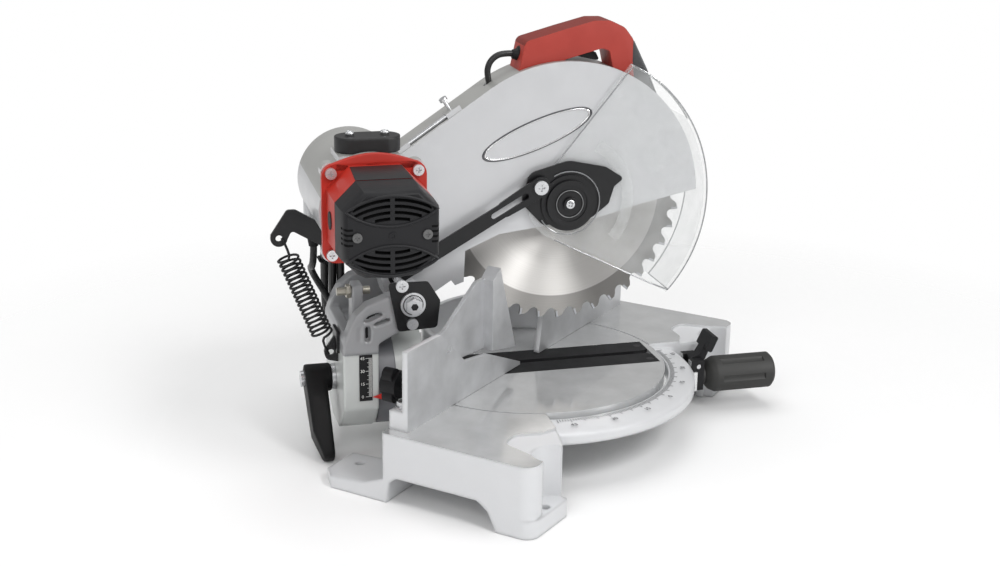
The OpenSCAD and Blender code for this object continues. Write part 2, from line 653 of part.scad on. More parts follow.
module link_plate() color([0.1, 0.1, 0.11]) carried() difference() {
    slab(link_plate_x, -lug_x) polygon(rounded([L + [13, 3], L + [-26, 2], P + [-27, 2], P + [-24,
        -25], P + [14, -27]],
        [4, 4, 5, 4, 4]));
    rod_x(P, -lug_x - 10, -lug_x + 10, pin_r);
    rod_x(L, -lug_x - 10, -lug_x + 10, 4);
    rod_x(P + [0.5, -19.5], -lug_x - 10, -lug_x + 10, 3);
}
module bracket_screws() color([0.75, 0.76, 0.78]) carried() {
    // Link pivot
    rod_x(L, link_plate_x, -link_x + 1, 4 - run);
    screw_x(L, link_plate_x, 6, 3, 3, 1);
    rod_x(L, -link_x + slip, -link_x + 4, 6);
    screw_x(P + [0.5, -19.5], link_plate_x, 5.5, 3, 2.9, link_plate_t);
}
module spring_bracket() color([0.1, 0.1, 0.11]) carried() difference() {
    union() {
        slab(spring_x - eye_plate / 2, spring_x + eye_plate / 2) polygon(rounded([[holder_rear, 92],
            [holder_rear, 118],
            [holder_rear + 4, 118], [holder_rear + 10, 109], eye_low + [7, 3], eye_low + [5, -7]], [0,
                0, 2, 3, 6, 6]));
        slab(spring_x - 12, spring_x + 12) polygon([[holder_rear, 104], [holder_rear + 3, 104],
            [holder_rear + 3, 126],
            [holder_rear, 126]]);
    }
    rod_x(eye_low, spring_x - 10, spring_x + 10, eye_r);
}
module stop_bolt() color([0.72, 0.6, 0.4]) carried() {
    rod_y(stop_x, stop_z, post_y - 25, post_y + 7, 4 - run);
    rod_y(stop_x, stop_z, post_y - 6, post_y - 2, 7, $fn = 6);
}
// Return spring: a coil between two legs that lie beside the eye plates
spring_u = unit([0, eye_low.x - eye_top.x, eye_low.y - eye_top.y]);
spring_n = [1, 0, 0];
spring_b = cross(spring_u, spring_n);
spring_span = norm(eye_low - eye_top);
leg_x = eye_plate / 2 + wire_r + 0.5;
function coil_at(s, turn, r) = [spring_x, eye_top.x,
    eye_top.y] + spring_u * s - r * (cos(turn) * spring_n + sin(turn) * spring_b);
module return_spring() color([0.09, 0.09, 0.1]) carried() {
    steps = spring_turns * 10;
    coil = [for (i = [0:steps]) coil_at(spring_lead + (spring_span - 2 * spring_lead) * i / steps,
        36 * i, spring_r)];
    leg = [for (f = [0, 0.5, 0.8]) coil_at(spring_lead * f, -40 + 30 * f, leg_x + (spring_r - leg_x) * f)];
    tail = [for (f = [0.8, 0.5, 0]) coil_at(spring_span - spring_lead * f, 40 - 30 * f,
        leg_x + (spring_r - leg_x) * f)];
    tube(concat(leg, coil, tail), wire_r, 6, spring_u);
}

// Head

module guard_region(grow) polygon([[-200, blade_z + 12.5 - grow], G + [-77.5, -7.5 - grow], G + [-35.7,
    -18.7 - grow],
    G + [21.3, -24.8 - grow], G + [67.2, -30.4 - grow], G + [101.3, -45.6 - grow], P + [-59.5, 6 - grow],
    P + [-33, -3 - grow], P + [-14, -13 - grow], P + [16, -8], P + [24, 20], [240, 220], [240, 440],
        [-200, 440]]);
module guard_outline() intersection() {
    union() {
        translate(G) circle(r = guard_r);
        polygon([G, slope_top, slope_top + slope_len * slope_d, [motor_y - 8, motor_z - 25], P + [34,
            42], P + [24, 20],
            P + [16, -8], P + [-14, -13]]);
    }
    guard_region(0);
}
// Frame of the slope, on the line of the guide rod
module on_slope() translate([-12, slope_top.x, slope_top.y]) rotate([-slope_a, 0, 0]) children();
module head_arm() color([0.77, 0.78, 0.79]) carried() difference() {
    union() {
        slab(-guard_near, guard_far) guard_outline();
        rod_x(M, -flange_x, guard_far, drum_r);
        rod_x(P, -30, lug_in - slip, 15);
        rod_x(G, -hub_x, -guard_near + 1, guard_boss_r);
        rod_x(G, guard_far - 1, housing_end, bearing_r + 10);
        // Ears behind the motor flange
        for (sy = [-1, 1]) for (sz = [-1, 1]) rod_x(M + [sy * flange_dy, sz * flange_dz], -flange_x,
            -flange_x + 12, 8);
        // Pad under the terminal cover
        block([-94, motor_y - 28, motor_z + 20], [-50, motor_y + 28, motor_z + drum_r - 3]);
        // Two lugs on the slope for the guide rod
        on_slope() {
            block([-8, 34, -6], [8, 50, 5]);
            block([-8, 94, -6], [8, 108, 5]);
        }
        // Gland boss
        translate([gland_at.x, gland_at.y, gland_at.z]) cylinder(h = 24, r = 9);
    }
    // Space for the blade
    slab(-guard_near + side_t, guard_far - side_t - 1) translate(G) circle(r = guard_r - rim_t);
    rod_x(G, -hub_x - 1, 0, guard_boss_r - 4);
    rod_x(G, 0, housing_end + 1, bearing_r);
    rod_x(M, -flange_x - 1, guard_far - 16, motor_bore_r);
    rod_x(M, 0, guard_far + 1, motor_bearing_r);
    rod_x(P, -31, lug_x, pin_r + run);
    on_slope() {
        rod_y(0, 1, 36, 120, 2.5);
        rod_y(0, 1, 50, 94, 5);
        translate([0, 43, 0]) cylinder(h = 10, r = 2.05);
    }
    // Flat seat of the terminal cover
    block([-92, motor_y - 36, motor_z + drum_r - 3], [-52, motor_y + 34, motor_z + drum_r + 10]);
    // Hole for the handle lead
    translate([lead_route[0].x, lead_end.x, lead_end.y]) cylinder(h = 30, r = lead_r + 0.1);
    // Spindle lock passage
    translate([lock_x, blade_y, blade_z + 8]) cylinder(h = 40, r = 4 + run);
}
module belt_track(grow) oval(G, M, pulley_r + grow, motor_pulley_r + grow);
module belt_cover() color([0.74, 0.75, 0.76]) carried() difference() {
    slab(guard_far, cover_end) belt_track(14);
    slab(guard_far - 1, cover_end - 3) belt_track(11);
    // Slot for the lock button
    translate([lock_x, blade_y, blade_z + 20]) cylinder(h = 40, r = 5.5 + slip);
    for (c = cover_screws) rod_x(c, cover_end - 10, cover_end + 1, 2);
}
cover_screws = [G + [20, 22], G + [100, 28], G + [104, -5]];
module belt_cover_screws() color([0.72, 0.73, 0.75]) carried() for (c = cover_screws) mirror([1, 0, 0])
    screw_x(c, -cover_end, 4.5, 2.5, 1.95, 3);
module drive_belt() color([0.08, 0.08, 0.08]) carried() slab(belt_x, belt_x + belt_w) difference() {
    belt_track(belt_t + slip);
    belt_track(slip);
}
module ring_x(c, x0, x1, r_in, r_out) difference() {
    rod_x(c, x0, x1, r_out);
    rod_x(c, x0 - 1, x1 + 1, r_in);
}
cap_bearing_x = -cap_x + 24;
module bearings() color([0.7, 0.71, 0.73]) carried() {
    for (x = [guard_far - 2, housing_end - bearing_w - 1])
        ring_x(G, x, x + bearing_w, spindle_r + run, bearing_r);
    ring_x(M, guard_far - 14, guard_far - 4, shaft_r + run, motor_bearing_r);
    ring_x(M, cap_bearing_x, cap_bearing_x + 10, shaft_r + run, motor_bearing_r);
}
module hub_cover() color([0.09, 0.09, 0.1]) carried() {
    difference() {
        union() {
            rod_x(G, -hub_x - hub_t, -hub_x, guard_boss_r + 8);
            rod_x(G, -hub_x - hub_t - 3, -hub_x, guard_boss_r + 3);
        }
        ring_x(G, -hub_x - hub_t - 4, -hub_x - hub_t - 2, 12, 18);
        rod_x(G, -hub_x - 10, 0, 3);
    }
    screw_x(G, -hub_x - hub_t - 3, 6.5, 3, 2.9, 12);
}
function eight(w, h, c) = [[-w + c, -h], [w - c, -h], [w, -h + c], [w, h - c], [w - c, h], [-w + c, h],
    [-w, h - c], [-w, -h + c]];
housing_end_x = -flange_x - 6 - housing_len;
module motor_housing() color([0.72, 0.16, 0.12]) carried() difference() {
    union() {
        slab(-flange_x - 6, -flange_x) translate(M) polygon(rounded([[-flange_dy - 8, -flange_dz - 8],
            [flange_dy + 8, -flange_dz - 8], [flange_dy + 8, flange_dz + 8], [-flange_dy - 8,
                flange_dz + 8]], 12));
        hull() {
            slab(-flange_x - 7, -flange_x - 6) translate(M) polygon(eight(43, 43, 20));
            slab(housing_end_x, housing_end_x + 1) translate(M) polygon(eight(cap_w / 2 + 2,
                cap_h / 2 + 2, 18));
        }
    }
    rod_x(M, housing_end_x - 1, 0, 34);
    for (sy = [-1, 1]) for (sz = [-1, 1]) rod_x(M + [sy * flange_dy, sz * flange_dz], -flange_x - 20,
        0, 2.6);
    // Brush holders
    for (s = [-1, 1]) translate([-flange_x - 26, motor_y, motor_z]) rod_y(0, 0, s > 0 ? 20 : -60,
        s > 0 ? 60 : -20, 8);
}
// Curved air slots, in two lens shaped groups split by a rib
module cap_slots() for (s = [-1, 1]) for (i = [0:3]) intersection() {
    translate(M - [0, s * (44 + 6.6 * i)]) difference() {
        circle(r = 74);
        circle(r = 70.4);
    }
    translate(M) for (side = [-1, 1]) translate([side * 19 - 16 + 4 * i * (side > 0 ? 0 : 1),
        s > 0 ? 6 : -60])
        square([32 - 4 * i, 54]);
}
module motor_cap() color([0.16, 0.16, 0.17]) carried() difference() {
    union() {
        difference() {
            hull() {
                slab(housing_end_x - 1, housing_end_x) translate(M) polygon(eight(cap_w / 2 + 2,
                    cap_h / 2 + 2, 18));
                slab(-cap_x + 5, -cap_x + 6) translate(M) polygon(eight(cap_w / 2, cap_h / 2, 17));
            }
            rod_x(M, -cap_x + 8, 0, 34);
        }
        slab(-cap_x, -cap_x + 5) difference() {
            translate(M) polygon(eight(cap_w / 2 - 1, cap_h / 2 - 1, 16));
            cap_slots();
        }
        // Seat of the rear bearing
        rod_x(M, -cap_x + 4, cap_bearing_x + 8, motor_bearing_r + 4);
    }
    slab(-cap_x + 4.9, -cap_x + 9) cap_slots();
    rod_x(M, cap_bearing_x - 1, 0, motor_bearing_r);
    rod_x(M, cap_bearing_x - 8, 0, shaft_r + 2);
    for (s = [-1, 1]) rod_x(M + [30 * s, 0], -cap_x - 1, -cap_x + 6, 2.2);
}
module motor_screws() color([0.75, 0.76, 0.78]) carried() {
    for (sy = [-1, 1]) for (sz = [-1, 1]) screw_x(M + [sy * flange_dy, sz * flange_dz], -flange_x - 6,
        5, 3.5, 2.5, 6);
    for (s = [-1, 1]) screw_x(M + [30 * s, 0], -cap_x, 4.2, 1.5, 2.1, 5);
}
module stator() color([0.5, 0.5, 0.52]) carried() ring_x(M, -flange_x + 10, -flange_x + 78, 29,
    motor_bore_r);
module carbon_brushes() color([0.1, 0.1, 0.1]) carried() for (s = [-1, 1])
    translate([-flange_x - 26, motor_y, motor_z]) {
        rod_y(0, 0, s > 0 ? 14.5 : -30, s > 0 ? 30 : -14.5, 4);
        rod_y(0, 0, s > 0 ? 30 : -44, s > 0 ? 44 : -30, 7.9);
    }
module rotor() color([0.6, 0.5, 0.4]) carried() {
    rod_x(M, -cap_x + 18, belt_x + belt_w + 2, shaft_r);
    rod_x(M, -flange_x + 12, -flange_x + 76, 28.3);
    rod_x(M, -flange_x - 36, -flange_x - 14, 14);
    rod_x(M, -flange_x + 84, -flange_x + 98, motor_bore_r - 3);
}
module motor_pulley() color([0.66, 0.67, 0.69]) carried() ring_x(M, belt_x - 1, belt_x + belt_w + 2,
    shaft_r, motor_pulley_r);
module terminal_cover() color([0.12, 0.12, 0.13]) carried() translate([-72, motor_y - 2,
    motor_z + drum_r - 3]) {
    linear_extrude(14) oval([0, -14], [0, 14], 16, 16);
    for (s = [-1, 1]) translate([0, 16 * s, 14]) cylinder(h = 2, r = 4);
}
handle_rim = G + [0, guard_r];
// Outline of the handle, its lower edge on the guard rim
handle_pts = rounded([handle_rim + [51, -22], handle_rim + [41, 16], handle_rim + [4, 27],
    handle_rim + [-32, 36.5],
    handle_rim + [-50, 36], handle_rim + [-66, 21], handle_rim + [-74, 2], handle_rim + [-86, -40]],
        [3, 7, 30, 14, 12, 12, 6, 3]);
finger_pts = rounded([handle_rim + [-2, -8], handle_rim + [0, 1], handle_rim + [-36, 10],
    handle_rim + [-46, 5],
    handle_rim + [-53, -14], handle_rim + [-40, -24]], [0, 3, 5, 6, 3, 0]);
module handle_outline() difference() {
    polygon(handle_pts);
    translate(G) circle(r = guard_r);
    polygon(finger_pts);
}
module handle_hollow() {
    // Room for the switch and the trigger
    slab(handle_x0 + handle_wall, handle_x1 - handle_wall) polygon([handle_rim + [-30, 8],
        handle_rim + [-30, 28],
        handle_rim + [24, 14], handle_rim + [24, 4], handle_rim + [6, 2]]);
    slab(handle_mid - 6, handle_mid + 6) polygon([handle_rim + [-36, 4], handle_rim + [-28, 14],
        handle_rim + [0, 6],
        handle_rim + [0, -4]]);
    rod_y(handle_mid, handle_rim.y + 10, 0, 60, 4.5);
    rod_x(handle_rim + [-6, 9], handle_x0 + 2, handle_x1 - 2, 2);
}
module handle_left() color([0.69, 0.2, 0.16]) carried() difference() {
    slab(handle_x0, handle_mid) handle_outline();
    handle_hollow();
}
module handle_right() color([0.69, 0.2, 0.16]) carried() difference() {
    slab(handle_mid, handle_x1) handle_outline();
    handle_hollow();
}
module handle_front() color([0.3, 0.3, 0.31]) carried() slab(handle_x0 + 3, handle_x1 - 3) difference() {
    polygon(rounded([handle_rim + [-67.5, 18], handle_rim + [-75.7, -3], handle_rim + [-88, -40],
        handle_rim + [-94, -39],
        handle_rim + [-84, -8], handle_rim + [-72, 19]], [0, 0, 0, 3, 8, 2]));
    translate(G) circle(r = guard_r);
    polygon(handle_pts);
}
module switch_box() color([0.15, 0.15, 0.16]) carried() block([handle_x0 + handle_wall, blade_y + 3,
    handle_rim.y + 5.5],
    [handle_x1 - handle_wall, blade_y + 20, handle_rim.y + 14]);
module handle_lead() color([0.07, 0.07, 0.07]) carried() tube(lead_route, lead_r, 8, [1, 0, 0]);
module guide_rod() color([0.75, 0.76, 0.78]) carried() on_slope() {
    rod_y(0, 1, 37, 112, 2.4);
    translate([0, 43, 3.6]) cylinder(h = 12, r = 2);
    translate([0, 43, 15]) cylinder(h = 3, r = 4);
}
module hook_plate() color([0.1, 0.1, 0.11]) carried() difference() {
    slab(spring_x - eye_plate / 2, spring_x + eye_plate / 2) {
        polygon(rounded([[196, 200], [240, 226], eye_top + [-7, -3], eye_top + [8, 3], [244, 246],
            [236, 246], [196, 222]],
            [0, 3, 0, 0, 4, 6, 0]));
        translate(eye_top) circle(r = 8);
    }
    rod_x(eye_top, spring_x - 10, spring_x + 10, eye_r);
    rod_x(M, -flange_x, guard_far, drum_r);
    slab(-40, 40) guard_outline();
}
module cord_gland() color([0.1, 0.1, 0.1]) carried() difference() {
    translate(gland_at - [0, 0, gland_len]) cylinder(h = gland_len, r1 = cord_r + 1.2, r2 = 8.5);
    translate(gland_at - [0, 0, gland_len + 1]) cylinder(h = gland_len + 4, r = cord_r);
}
module mains_lead() color([0.08, 0.08, 0.08]) carried() tube(cord_route, cord_r, 8, [0, 1, 0.2]);
module cord_hank() color([0.08, 0.08, 0.08]) carried() wall_y(hank_y0, hank_y1)
    oval([hank_x, hank_z - hank_run / 2], [hank_x, hank_z + hank_run / 2], hank_r, hank_r - small);
// Plug, tied against the front of the hank
module plug() color([0.1, 0.1, 0.1]) carried() translate([62, hank_y0 - 25, hank_z - 38]) {
    cube([16, 25, 38]);
    for (y = [3.5, 21.5]) translate([8, y, -18]) cylinder(h = 18.5, r = 2.4);
}

// Blade and drive

function tooth(i) = let (a = 360 * i / teeth, p = 360 / teeth) [for (q = [[0, 0], [0.1, -8.5], [0.3,
    -10], [0.52, -7.5],
    [0.72, -1.6]])
    (blade_r + q.y) * [cos(a + p * q.x), sin(a + p * q.x)]];
module blade() color([0.72, 0.73, 0.74]) carried() difference() {
    slab(-blade_t / 2, blade_t / 2) translate(G) polygon([for (i = [0:teeth - 1]) each tooth(i)]);
    rod_x(G, -5, 5, blade_bore / 2);
}
module spindle() color([0.66, 0.67, 0.69]) carried() rod_x(G, -blade_t / 2 - flange_t,
    belt_x + belt_w + 2, spindle_r);
module blade_flanges() color([0.6, 0.61, 0.63]) carried() {
    ring_x(G, -blade_t / 2 - flange_t, -blade_t / 2, spindle_r, 24);
    ring_x(G, blade_t / 2, blade_t / 2 + flange_t, spindle_r, 24);
    ring_x(G, -blade_t / 2, blade_t / 2, spindle_r, blade_bore / 2 - small);
}
module blade_bolt() color([0.3, 0.3, 0.31]) carried() {
    rod_x(G, -blade_t / 2 - flange_t - 2, -blade_t / 2 - flange_t, 12);
    rod_x(G, -blade_t / 2 - flange_t - 8, -blade_t / 2 - flange_t - 2, 9, $fn = 6);
}
module spindle_pulley() color([0.66, 0.67, 0.69]) carried() ring_x(G, belt_x - 1, belt_x + belt_w + 1,
    spindle_r, pulley_r);
module spindle_lock() color([0.15, 0.15, 0.16]) carried() translate([lock_x, blade_y, blade_z]) {
    translate([0, 0, spindle_r + 5]) cylinder(h = pulley_r - spindle_r + 5, r = 4);
    translate([0, 0, pulley_r + 9]) cylinder(h = 13, r = 5.5);
}

// Lower guard and its link

top_angle = 115.5;
end_angle = 221.6;
rim_angle = 148;
module clear_rim(r0, r1) intersection() {
    difference() {
        translate(G) circle(r = r1);
        translate(G) circle(r = r0);
    }
    polygon(concat([G], [for (a = [rim_angle, 170, 195, end_angle]) G + 220 * [cos(a), sin(a)]]));
}
module lower_guard() color([0.85, 0.9, 0.95, 0.35]) carried() difference() {
    union() {
        slab(-clear_near - clear_t, -clear_near) intersection() {
            translate(G) circle(r = clear_r);
            union() {
                translate(G) circle(r = 40);
                polygon([G + [14, 37], G + 160 * [cos(top_angle), sin(top_angle)], G + [-240, 180],
                    G + [-240, -120],
                    G + 160 * [cos(end_angle), sin(end_angle)], G + [-88, -88], G + [12, -38]]);
            }
        }
        slab(-clear_near - clear_t, clear_far + clear_t) clear_rim(clear_r - clear_t, clear_r);
        slab(clear_far, clear_far + clear_t) clear_rim(clear_r - 36, clear_r);
    }
    rod_x(G, -clear_near - 10, 0, guard_boss_r + run);
}
module guard_plate() color([0.1, 0.1, 0.11]) carried() difference() {
    slab(-plate_x - plate_t, -plate_x) polygon(rounded([G + [25, -22], G + [48, 2], G + [40, 31],
        G + [0, 42], G + [-38, 34],
        G + [-57, 22], G + [-47, 14], G + [-42, -3], G + [-24, -17]], [8, 12, 12, 20, 6, 3, 4, 6, 14]));
    rod_x(G, -plate_x - 10, 0, guard_boss_r + run);
    rod_x(K, -plate_x - 10, 0, 3);
}
module link_pin() color([0.75, 0.76, 0.78]) carried() {
    rod_x(K, -plate_x - plate_t, -plate_x, 3);
    rod_x(K, -link_x - link_t - slip, -plate_x - plate_t, 4);
    screw_x(K, -link_x - link_t - slip, 7, 3, 3, 1);
}
link_dir = unit(L - K);
module guard_link() color([0.1, 0.1, 0.11]) carried() slab(-link_x - link_t, -link_x) difference() {
    union() {
        oval(K, K + 40 * link_dir, 10, 8);
        oval(K + 38 * link_dir, L, 7, 7.5);
    }
    oval(K - 2.5 * link_dir, K + 2.5 * link_dir, 4.6, 4.599);
    oval(K + 17 * link_dir, K + 53 * link_dir, 3, 2.999);
    translate(L) circle(r = 4);
}
module trigger() color([0.12, 0.12, 0.13]) carried() {
    slab(handle_mid - 5.5, handle_mid + 5.5) polygon(rounded([handle_rim + [-2, 7], handle_rim + [-6, 12.5],
        handle_rim + [-12, 11], handle_rim + [-32, 5.5], handle_rim + [-36, -2.4], handle_rim + [-30, -1.8],
        handle_rim + [-18, 0.8], handle_rim + [-6, 4]], [2, 3, 3, 2, 1.5, 4, 4, 2]));
    rod_x(handle_rim + [-6, 9], handle_x0 + 2.5, handle_x1 - 2.5, 2 - run);
}

base();
fence();
fence_bolts();
turntable_bolt();
flip_pin();
flip_fence();
fence_knob();
turntable();
kerf_strips();
kerf_screws();
mitre_grip();
mitre_latch();
latch_pin();
bevel_bolt();
bevel_pointer();
bevel_lever();
arm_holder();
bevel_scale();
chop_pin();
link_plate();
bracket_screws();
spring_bracket();
stop_bolt();
return_spring();
head_arm();
belt_cover();
belt_cover_screws();
drive_belt();
bearings();
hub_cover();
motor_housing();
motor_cap();
motor_screws();
stator();
carbon_brushes();
terminal_cover();
handle_left();
handle_right();
handle_front();
switch_box();
handle_lead();
guide_rod();
hook_plate();
cord_gland();
mains_lead();
cord_hank();
plug();
blade();
spindle();
blade_flanges();
blade_bolt();
spindle_pulley();
rotor();
motor_pulley();
lower_guard();
guard_plate();
link_pin();
guard_link();
trigger();
spindle_lock();
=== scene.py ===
import json
import math

import bmesh
import bpy
from mathutils import Matrix, Vector


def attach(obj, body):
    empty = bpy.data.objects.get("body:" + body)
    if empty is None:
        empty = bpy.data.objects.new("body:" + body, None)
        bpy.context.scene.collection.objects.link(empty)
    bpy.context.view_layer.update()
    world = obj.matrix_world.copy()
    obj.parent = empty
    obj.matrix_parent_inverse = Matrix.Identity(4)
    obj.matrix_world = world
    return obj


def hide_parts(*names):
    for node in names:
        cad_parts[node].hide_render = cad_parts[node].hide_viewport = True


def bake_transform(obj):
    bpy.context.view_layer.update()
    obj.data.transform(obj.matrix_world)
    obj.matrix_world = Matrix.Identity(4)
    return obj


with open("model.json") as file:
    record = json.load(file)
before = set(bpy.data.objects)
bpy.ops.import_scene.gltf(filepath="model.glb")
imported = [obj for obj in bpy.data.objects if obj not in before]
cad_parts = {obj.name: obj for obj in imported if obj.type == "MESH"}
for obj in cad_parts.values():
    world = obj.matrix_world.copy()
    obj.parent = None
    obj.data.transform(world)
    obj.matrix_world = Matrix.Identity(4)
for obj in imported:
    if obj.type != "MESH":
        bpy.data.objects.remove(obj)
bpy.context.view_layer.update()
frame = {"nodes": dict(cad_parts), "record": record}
NODES = frame["nodes"]
scene = bpy.context.scene
scene.view_settings.view_transform = "Standard"

# Lengths are in millimetres, as in the construction, and become metres by MM.
# The head frame is turned 45 degrees by the mitre, about an axis AXIS_Y behind the origin, so its coordinates
# differ by SHIFT from distances of the shared frame along REARWARD, FRONTWARD and LEFTWARD.
MM = 0.001
COS45 = math.sqrt(0.5)
AXIS_Y = 29.25
SHIFT = AXIS_Y * COS45
UP = (0, 0, 1)
BACK = (0, 1, 0)
REARWARD = (-COS45, COS45, 0)
FRONTWARD = (COS45, -COS45, 0)
LEFTWARD = (-COS45, -COS45, 0)
FAR = 500
TABLE_Z, SCALE_Z, RING_OUT = 68.0, 63.0, 172
BLADE_Y, BLADE_Z, GUARD_R = -30.0, 241.0, 137.0
MOTOR_Y, MOTOR_Z = 178.0, 265.0
PIVOT_Y, PIVOT_Z = 132, 158
BEVEL_Z = 68.0


def head(x, y, z):
    """A point of the head frame, in millimetres, as a vector of the shared frame in metres."""
    return Vector(((x - y) * COS45 * MM, ((x + y) * COS45 + AXIS_Y) * MM, z * MM))


HEAD_FRAME = Matrix((
    (COS45, -COS45, 0, 0),
    (COS45, COS45, 0, AXIS_Y * MM),
    (0, 0, 1, 0),
    (0, 0, 0, 1)))


# Camera, recovered from the photo's own perspective

def make_camera():
    azimuth, elevation, roll = (math.radians(v) for v in (-60.423, 17.33, 0.961))
    back = Vector((math.sin(azimuth) * math.cos(elevation), -math.cos(azimuth) * math.cos(elevation),
                   math.sin(elevation)))
    right = Vector(UP).cross(back).normalized()
    up = back.cross(right)
    side = math.cos(roll) * right + math.sin(roll) * up
    top = -math.sin(roll) * right + math.cos(roll) * up
    data = bpy.data.cameras.new("camera")
    data.sensor_fit = "HORIZONTAL"
    data.sensor_width = 36
    data.lens = 54.61
    data.clip_start = 0.05
    data.clip_end = 60
    obj = bpy.data.objects.new("camera", data)
    scene.collection.objects.link(obj)
    place = Matrix((side, top, back)).transposed().to_4x4()
    place.translation = (-1.28386, -0.6665, 0.60668)
    obj.matrix_world = place
    scene.camera = obj


make_camera()


# Nodes of materials and modifiers

def add_node(tree, kind, inputs, **settings):
    """A node with its settings; each input is a constant or the output of another node."""
    node = tree.nodes.new(kind)
    for name, value in settings.items():
        setattr(node, name, value)
    for key, value in inputs.items():
        if isinstance(value, bpy.types.NodeSocket):
            tree.links.new(value, node.inputs[key])
        else:
            node.inputs[key].default_value = value
    return node


def coords(tree, scale=(1, 1, 1)):
    place = tree.nodes.new("ShaderNodeTexCoord").outputs["Object"]
    return add_node(tree, "ShaderNodeMapping", {"Vector": place, "Scale": scale}).outputs["Vector"]


def noise(tree, scale, detail=3.0, roughness=0.55, stretch=(1, 1, 1)):
    return add_node(tree, "ShaderNodeTexNoise", {
        "Vector": coords(tree, stretch), "Scale": scale, "Detail": detail, "Roughness": roughness}).outputs["Fac"]


def ramp(tree, value, low, high, start=0.3, end=0.7):
    return add_node(tree, "ShaderNodeMapRange", {
        "Value": value, "From Min": start, "From Max": end, "To Min": low, "To Max": high}).outputs["Result"]


def mix(tree, value, a, b):
    """Two colours, or outputs that give them, mixed by value."""
    a, b = (c if isinstance(c, bpy.types.NodeSocket) else (*c, 1) for c in (a, b))
    return add_node(tree, "ShaderNodeMix", {"Factor": value, "A": a, "B": b}, data_type="RGBA").outputs["Result"]


def bump(tree, value, strength, distance, under=None):
    inputs = {"Height": value, "Strength": strength, "Distance": distance}
    if under is not None:
        inputs["Normal"] = under
    return add_node(tree, "ShaderNodeBump", inputs).outputs["Normal"]


def length_of(tree, vector):
    return add_node(tree, "ShaderNodeVectorMath", {0: vector}, operation="LENGTH").outputs["Value"]


def mix_shaders(tree, factor, first, second, target):
    """Shows the first shader, or the second where factor is 1."""
    join = add_node(tree, "ShaderNodeMixShader", {"Fac": factor, 1: first.outputs[0], 2: second.outputs[0]})
    tree.links.new(join.outputs["Shader"], tree.nodes[target].inputs["Surface"])


# Materials

def new_material(name):
    mat = bpy.data.materials.new(name)
    mat.use_nodes = True
    tree = mat.node_tree
    return mat, tree, tree.nodes["Principled BSDF"]


def shade(c, k):
    return tuple(min(1.0, v * k) for v in c)


def rgb(r, g, b):
    """A colour given in 0-255, as linear light."""
    out = []
    for v in (r, g, b):
        v /= 255
        out.append(v / 12.92 if v <= 0.04045 else ((v + 0.055) / 1.055) ** 2.4)
    return tuple(out)


def surface(name, colour, rough, metal=0.0, vary=0.06, grain=900.0, bumps=0.08, depth=0.0001,
            rough_vary=0.06, stretch=(1, 1, 1), coat=0.0, edge_wear=0.0, gloss=0.5, rounding=0.0):
    """Painted, moulded or machined finish: mottled colour, uneven gloss, fine relief, rubbed or rounded edges."""
    mat, tree, shader = new_material(name)
    colour = rgb(*colour)
    blotch = noise(tree, 34.0, 4.0)
    fine = noise(tree, grain, 2.0, 0.5, stretch)
    col = mix(tree, ramp(tree, blotch, 0, 1), shade(colour, 1 - vary), shade(colour, 1 + vary))
    if edge_wear:
        corner = tree.nodes.new("ShaderNodeNewGeometry").outputs["Pointiness"]
        col = mix(tree, ramp(tree, corner, 0, edge_wear, 0.52, 0.62), col, shade(colour, 1.5))
    under = None
    if rounding:
        under = add_node(tree, "ShaderNodeBevel", {"Radius": rounding * MM}, samples=6).outputs["Normal"]
    tree.links.new(col, shader.inputs["Base Color"])
    tree.links.new(ramp(tree, blotch, rough - rough_vary, rough + rough_vary), shader.inputs["Roughness"])
    tree.links.new(bump(tree, fine, bumps, depth, under), shader.inputs["Normal"])
    shader.inputs["Metallic"].default_value = metal
    shader.inputs["Coat Weight"].default_value = coat
    shader.inputs["Coat Roughness"].default_value = 0.12
    shader.inputs["Specular IOR Level"].default_value = gloss
    return mat


def clear_plastic(name, colour=(0.8, 0.82, 0.82), low=0.1, high=0.2):
    """Thin clear sheet: lets most light straight through, with haze and a sharp gloss."""
    mat, tree, shader = new_material(name)
    haze = noise(tree, 45.0, 4.0)
    tree.links.new(ramp(tree, haze, 0.05, 0.14), shader.inputs["Roughness"])
    tree.links.new(ramp(tree, haze, low, high), shader.inputs["Alpha"])
    tree.links.new(mix(tree, haze, shade(colour, 0.97), colour), shader.inputs["Base Color"])
    tree.links.new(bump(tree, noise(tree, 25.0, 2.0), 0.05, 0.0004), shader.inputs["Normal"])
    return mat


def blade_material(name):
    """Steel ground in rings round its axis, darker in the band of the teeth than on the body inside it."""
    mat, tree, shader = new_material(name)
    split = add_node(tree, "ShaderNodeSeparateXYZ", {"Vector": coords(tree)})
    flat = add_node(tree, "ShaderNodeCombineXYZ", {"X": split.outputs["X"], "Y": split.outputs["Y"]})
    radius = length_of(tree, flat.outputs["Vector"])
    line = add_node(tree, "ShaderNodeCombineXYZ", {"X": radius}).outputs["Vector"]
    fine = add_node(tree, "ShaderNodeTexNoise", {"Vector": line, "Scale": 900.0, "Detail": 3.0}).outputs["Fac"]
    body = mix(tree, fine, rgb(172, 170, 168), rgb(200, 198, 195))
    band = mix(tree, fine, rgb(126, 124, 122), rgb(144, 142, 139))
    tree.links.new(mix(tree, ramp(tree, radius, 0, 1, 0.1035, 0.1045), body, band), shader.inputs["Base Color"])
    tree.links.new(ramp(tree, fine, 0.42, 0.5), shader.inputs["Roughness"])
    tree.links.new(bump(tree, fine, 0.05, 0.0001), shader.inputs["Normal"])
    tangent = add_node(tree, "ShaderNodeTangent", {}, direction_type="RADIAL", axis="Z")
    tree.links.new(tangent.outputs["Tangent"], shader.inputs["Tangent"])
    shader.inputs["Metallic"].default_value = 1.0
    shader.inputs["Anisotropic"].default_value = 0.95
    shader.inputs["Anisotropic Rotation"].default_value = 0.25
    return mat


